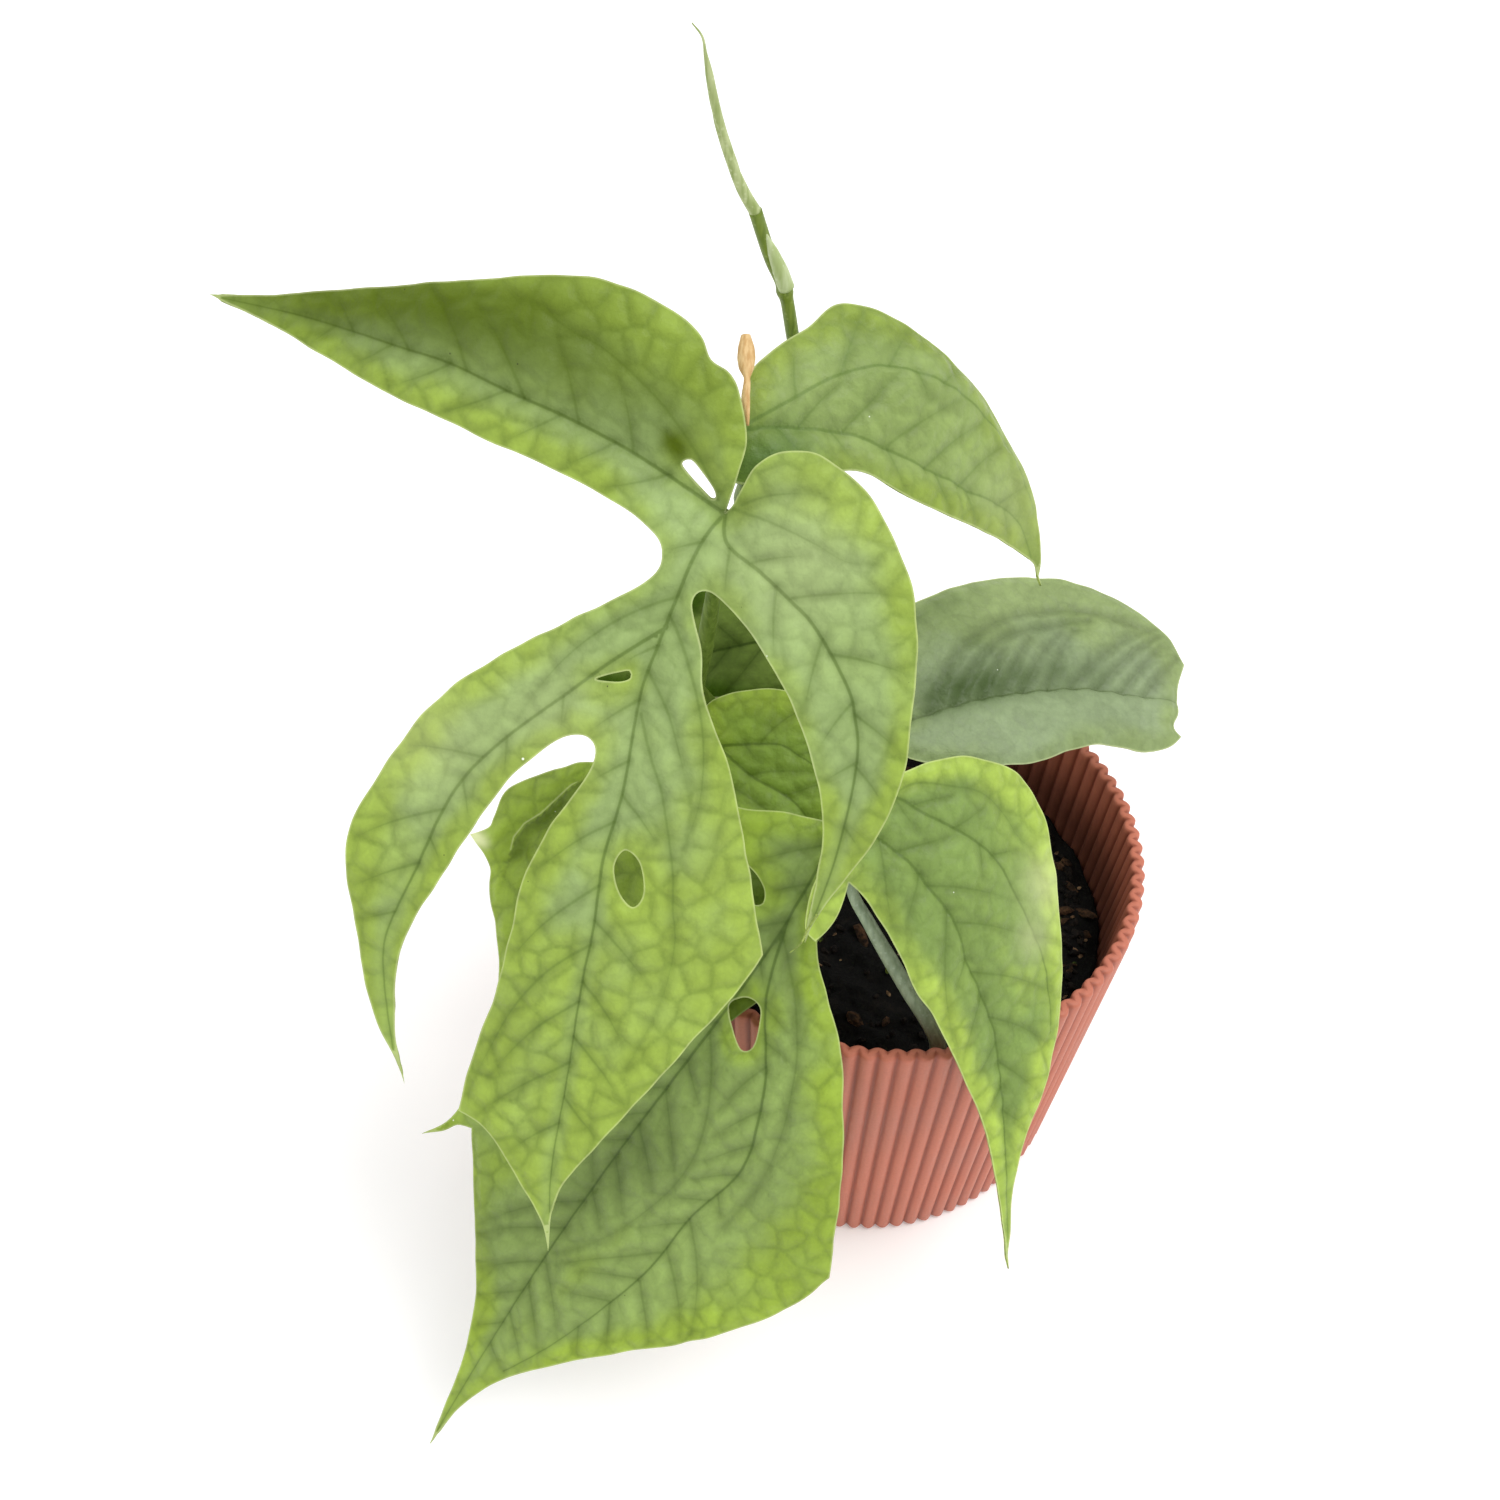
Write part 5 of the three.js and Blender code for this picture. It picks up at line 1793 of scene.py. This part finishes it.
    def fibres(self, name: str, count: int, length: Point2, radius: float, finish: CrumbFinish, seed: int):
        """Lays thin curved fibres on the surface.

        Args:
            name: Name of the piece.
            count: Number of fibres.
            length: Shortest and longest fibre.
            radius: Radius of a fibre.
            finish: Finish of the fibres.
            seed: Seed of their places.

        Returns:
            The fibres as one piece.
        """
        stream = random.Random(seed)
        bm = bmesh.new()
        steps = self.fibre_steps
        for spot in self.spots(stream, count, self.fibre_margin):
            heading, bend = stream.uniform(0, TURN), stream.uniform(-self.fibre_bend, self.fibre_bend)
            reach = stream.uniform(*length)
            line = []
            for k in range(steps + 1):
                arch = self.fibre_arch * math.sin(math.pi * k / steps)
                lift = radius * 0.7 + arch * stream.uniform(0.2, 1)
                line.append(Vector((spot.x, spot.y, self.level(spot.x, spot.y) + lift)))
                spot = spot + Vector((math.cos(heading), math.sin(heading), 0)) * reach / steps
                heading += bend
            sweep(bm, line, lambda share: radius * (1 - 0.6 * share), 6)
        piece = finished_piece(bm, name, Matrix.Identity(4), [finish.material()])
        return piece

    def litter(self) -> list:
        """Everything that lies on the soil."""
        bark = CrumbFinish("bark", (92, 64, 42), (34, 24, 16), 400, 1500)
        chaff = CrumbFinish("pale_chaff", (150, 122, 92), (84, 62, 42), 500, 1500)
        roots = CrumbFinish("root_fibre", (168, 150, 122), (84, 70, 52), 300, 1500)
        moss = CrumbFinish("moss", (112, 128, 44), (44, 56, 18), 500, 1800)
        dark = CrumbFinish("dark_crumb", (34, 26, 20), (10, 8, 7), 400, 1500)
        return [
            self.crumbs("dark_crumbs", 700, (2.6, 2.0, 1.6), 0.5, dark, 21),
            self.crumbs("bark_chips", 90, (6.0, 3.2, 1.8), 0.45, bark, 22),
            self.crumbs("pale_chaff_bits", 120, (2.4, 1.0, 0.7), 0.5, chaff, 23),
            self.crumbs("moss_bits", 60, (1.8, 1.3, 0.9), 0.5, moss, 24),
            self.fibres("root_fibres", 34, (6, 16), 0.28, roots, 25),
            self.fibres("bark_sticks", 12, (8, 15), 0.8, bark, 26),
        ]


# Stem, growing tip and sheaths


@dataclass
class Stem:
    """Climbing stem, with a swollen ring at each node."""

    path: tuple[Point3, ...] = (
        (-5, 10, 60.3), (-5, 10, 76), (-6, 10, 105), (-12, 9, 140), (-20, 8, 180), (-26, 7, 215),
        (-31, 6.5, 245), (-34, 6, 260), (-36.5, 5, 272.5), (-39.5, 4, 280), (-43, 2, 291.6),
    )
    radii: tuple[float, ...] = (2.9, 2.8, 2.5, 2.2, 1.9, 1.6, 1.4, 1.35)
    rings: tuple[float, ...] = (106, 119, 139, 153, 178, 205, 228, 250, 272)
    swell: float = 0.42
    swell_reach: float = 1.3

    def build(self):
        """Builds the stem in place of its node."""
        line = resample(centripetal_curve(self.path), 0.9)
        plain = radius_steps(self.radii)

        def radius_at(share: float) -> float:
            """Radius with the swelling of the nearest node."""
            z = line[round(share * (len(line) - 1))].z
            off = min(abs(z - ring) for ring in self.rings)
            return plain(share) + self.swell * math.exp(-((off / self.swell_reach) ** 2))

        bm = bmesh.new()
        sweep(bm, line, radius_at, 24)
        finish = StalkFinish("stem_skin", (118, 136, 46), (92, 112, 30), (140, 156, 78))
        piece = finished_piece(bm, "climbing_stem", Matrix.Identity(4), [finish.material()])
        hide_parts("stem")
        return piece


@dataclass
class Spindle:
    """A rolled or folded sheath that stands along a path."""

    name: str
    node: str
    slot: str
    path: tuple[Point3, ...]
    radii: tuple[float, ...]
    material: bpy.types.Material
    fold: float = 0.0
    fold_width: float = 0.16
    twist: float = 0.25

    def build(self):
        """Builds the spindle in place of its node."""
        bm = bmesh.new()
        line = resample(centripetal_curve(self.path), 0.5)
        sweep(bm, line, radius_steps(self.radii), 28)
        if self.fold:
            for vert in bm.verts:
                centre = min(line, key=lambda spot: (spot - vert.co).length_squared)
                out = vert.co - centre
                turn = math.atan2(out.y, out.x) + vert.co.z * self.twist
                pinch = math.exp(-((math.sin(turn / 2) / self.fold_width) ** 2))
                vert.co = centre + out * (1 - self.fold * pinch)
        piece = finished_piece(bm, self.name, Matrix.Identity(4), [self.material])
        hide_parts(self.node)
        return piece


def growing_tip() -> list[Spindle]:
    """Measures of the rolled leaf and the sheaths.

    Returns:
        The rolled leaf, its sheath and the dried sheath.
    """
    rolled = StalkFinish("rolled_leaf_skin", (180, 190, 138), (134, 150, 84), (192, 200, 156)).material()
    sheath = StalkFinish("pale_sheath_skin", (184, 196, 150), (154, 170, 108), (206, 212, 184)).material()
    dried = PaperFinish("dried_sheath_paper", (214, 184, 134), (188, 150, 98)).material()
    return [
        Spindle(
            "rolled_new_leaf", "new_leaf_rolled", "new_leaf",
            ((-42.9, 2.05, 291.3), (-45.5, 1, 296.5), (-47.9, 0, 303.2), (-50.1, -1, 310.6),
             (-51.3, -2, 316.2), (-52.2, -3, 321.5), (-52.9, -3.6, 325.5), (-53.6, -4, 329.1),
             (-55.4, -4, 331.4)),
            (1.25, 1.16, 1.08, 1.02, 0.96, 0.88, 0.74, 0.3, 0.12), rolled, fold=0.25,
        ),
        Spindle(
            "tip_sheath", "sheath_new", "new_leaf",
            ((-36.1, 4.4, 273.2), (-37.3, 3.7, 277), (-38.9, 2.9, 281.5), (-40.7, 2.1, 286.6)),
            (1.7, 1.6, 1.15, 0.25), sheath,
        ),
        Spindle(
            "dried_old_sheath", "sheath_dried", "dried_sheath",
            ((-42.1, -22.8, 259.1), (-42.5, -21.1, 261.2), (-42.9, -18.8, 262.9), (-42.8, -16.1, 264.8),
             (-43.1, -12.8, 265.8), (-43.3, -9.4, 267), (-43.6, -6.4, 268.6)),
            (0.25, 0.62, 0.92, 0.85, 0.62, 1.55, 1.85, 1.65, 1.0), dried, fold=0.14,
        ),
    ]


# Camera, floor and light


@dataclass(frozen=True)
class Studio:
    """Pale floor, soft light and the camera at the photograph's place."""

    camera_place: Point3 = (-0.038, -0.307, 0.482)
    pitch: float = 48.3
    roll: float = 3.3
    lens: float = 43.2
    sensor: float = 36.0
    floor_size: float = 6.0
    floor_gap: float = 0.0004
    floor_glow: float = 0.12
    floor_colours: tuple[Colour, Colour] = ((246, 246, 246), (250, 250, 250))
    world_strength: float = 0.85
    aim: Point3 = (-0.02, -0.03, 0.16)
    lamps: tuple[tuple[str, Point3, float, float], ...] = (
        ("key_light", (1.3, -0.3, 3.0), 2.0, 60.0),
        ("fill_light", (-0.9, 0.2, 0.9), 1.0, 2.5),
    )

    def camera(self) -> None:
        """Makes the camera, which looks down at the pot and is rolled a little."""
        pitch, roll = math.radians(self.pitch), math.radians(self.roll)
        ahead = Vector((0, math.cos(pitch), -math.sin(pitch)))
        level_up = Vector((1, 0, 0)).cross(ahead)
        right = math.cos(roll) * Vector((1, 0, 0)) + math.sin(roll) * level_up
        up = math.cos(roll) * level_up - math.sin(roll) * Vector((1, 0, 0))
        turn = Matrix((right, up, -ahead)).transposed().to_4x4()
        data = bpy.data.cameras.new("camera")
        data.lens = self.lens
        data.sensor_width = self.sensor
        data.clip_start = 0.01
        item = in_scene("camera", data)
        item.matrix_world = Matrix.Translation(self.camera_place) @ turn
        bpy.context.scene.camera = item

    def floor(self) -> None:
        """Makes the plain floor just under the pot."""
        bm = bmesh.new()
        bmesh.ops.create_grid(bm, x_segments=4, y_segments=4, size=self.floor_size / 2)
        bmesh.ops.translate(bm, vec=(0, 0, -self.floor_gap), verts=bm.verts)
        mesh = bpy.data.meshes.new("studio_floor")
        bm.to_mesh(mesh)
        bm.free()
        shader = Shader("studio_floor", 0.8, 0.2)
        paper = shader.cloud(shader.place(Place.OBJECT), 3, detail=2)
        shader.surface.inputs["Emission Color"].default_value = (1, 1, 1, 1)
        shader.surface.inputs["Emission Strength"].default_value = self.floor_glow
        colour = shader.mix(paper, *(linear(colour) for colour in self.floor_colours))
        mesh.materials.append(shader.done(colour))
        item = in_scene("studio_floor", mesh)
        item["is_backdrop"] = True

    def lamp(self, name: str, place: Point3, size: float, power: float) -> None:
        """Makes a square soft lamp that points at the plant."""
        data = bpy.data.lights.new(name, "AREA")
        data.size = size
        data.energy = power
        item = in_scene(name, data)
        item.location = place
        item.rotation_mode = "QUATERNION"
        item.rotation_quaternion = (Vector(self.aim) - Vector(place)).to_track_quat("-Z", "Y")

    def build(self) -> None:
        """Sets up the whole studio."""
        self.camera()
        self.floor()
        for lamp in self.lamps:
            self.lamp(*lamp)
        world = bpy.data.worlds.new("studio")
        world.use_nodes = True
        background = world.node_tree.nodes["Background"]
        background.inputs["Color"].default_value = (1, 1, 1, 1)
        background.inputs["Strength"].default_value = self.world_strength
        bpy.context.scene.world = world
        bpy.context.scene.view_settings.view_transform = "Standard"


def triangles(piece: bpy.types.Object) -> int:
    """Counts the triangles of a piece."""
    return sum(len(polygon.vertices) - 2 for polygon in piece.data.polygons)


def main() -> None:
    """Builds the plant from the pot upwards and reports each piece."""
    logging.basicConfig(level=logging.INFO, format="%(name)s: %(message)s")
    Studio().build()
    soil = Soil()
    pieces = [Pot().build(), soil.build(), *soil.litter(), Stem().build()]
    under = UndersideFinish("blade_underside").material()
    rim = CrumbFinish("blade_rim", (158, 174, 88), (134, 152, 70), 300, 900, roughness=0.5).material()
    pieces += [leaf.build(under, rim) for leaf in make_leaves()]
    pieces += [spindle.build() for spindle in growing_tip()]
    for piece in pieces:
        log.info("%s: %d triangles", piece.name, triangles(piece))
    log.info("all pieces: %d triangles", sum(triangles(piece) for piece in pieces))
    bpy.context.view_layer.update()
    boxes = {"cad": CAD_BOX, "visual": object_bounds()}
    {name: [list(corner) for corner in box] for name, box in boxes.items()}


if __name__ == "__main__":
    main()
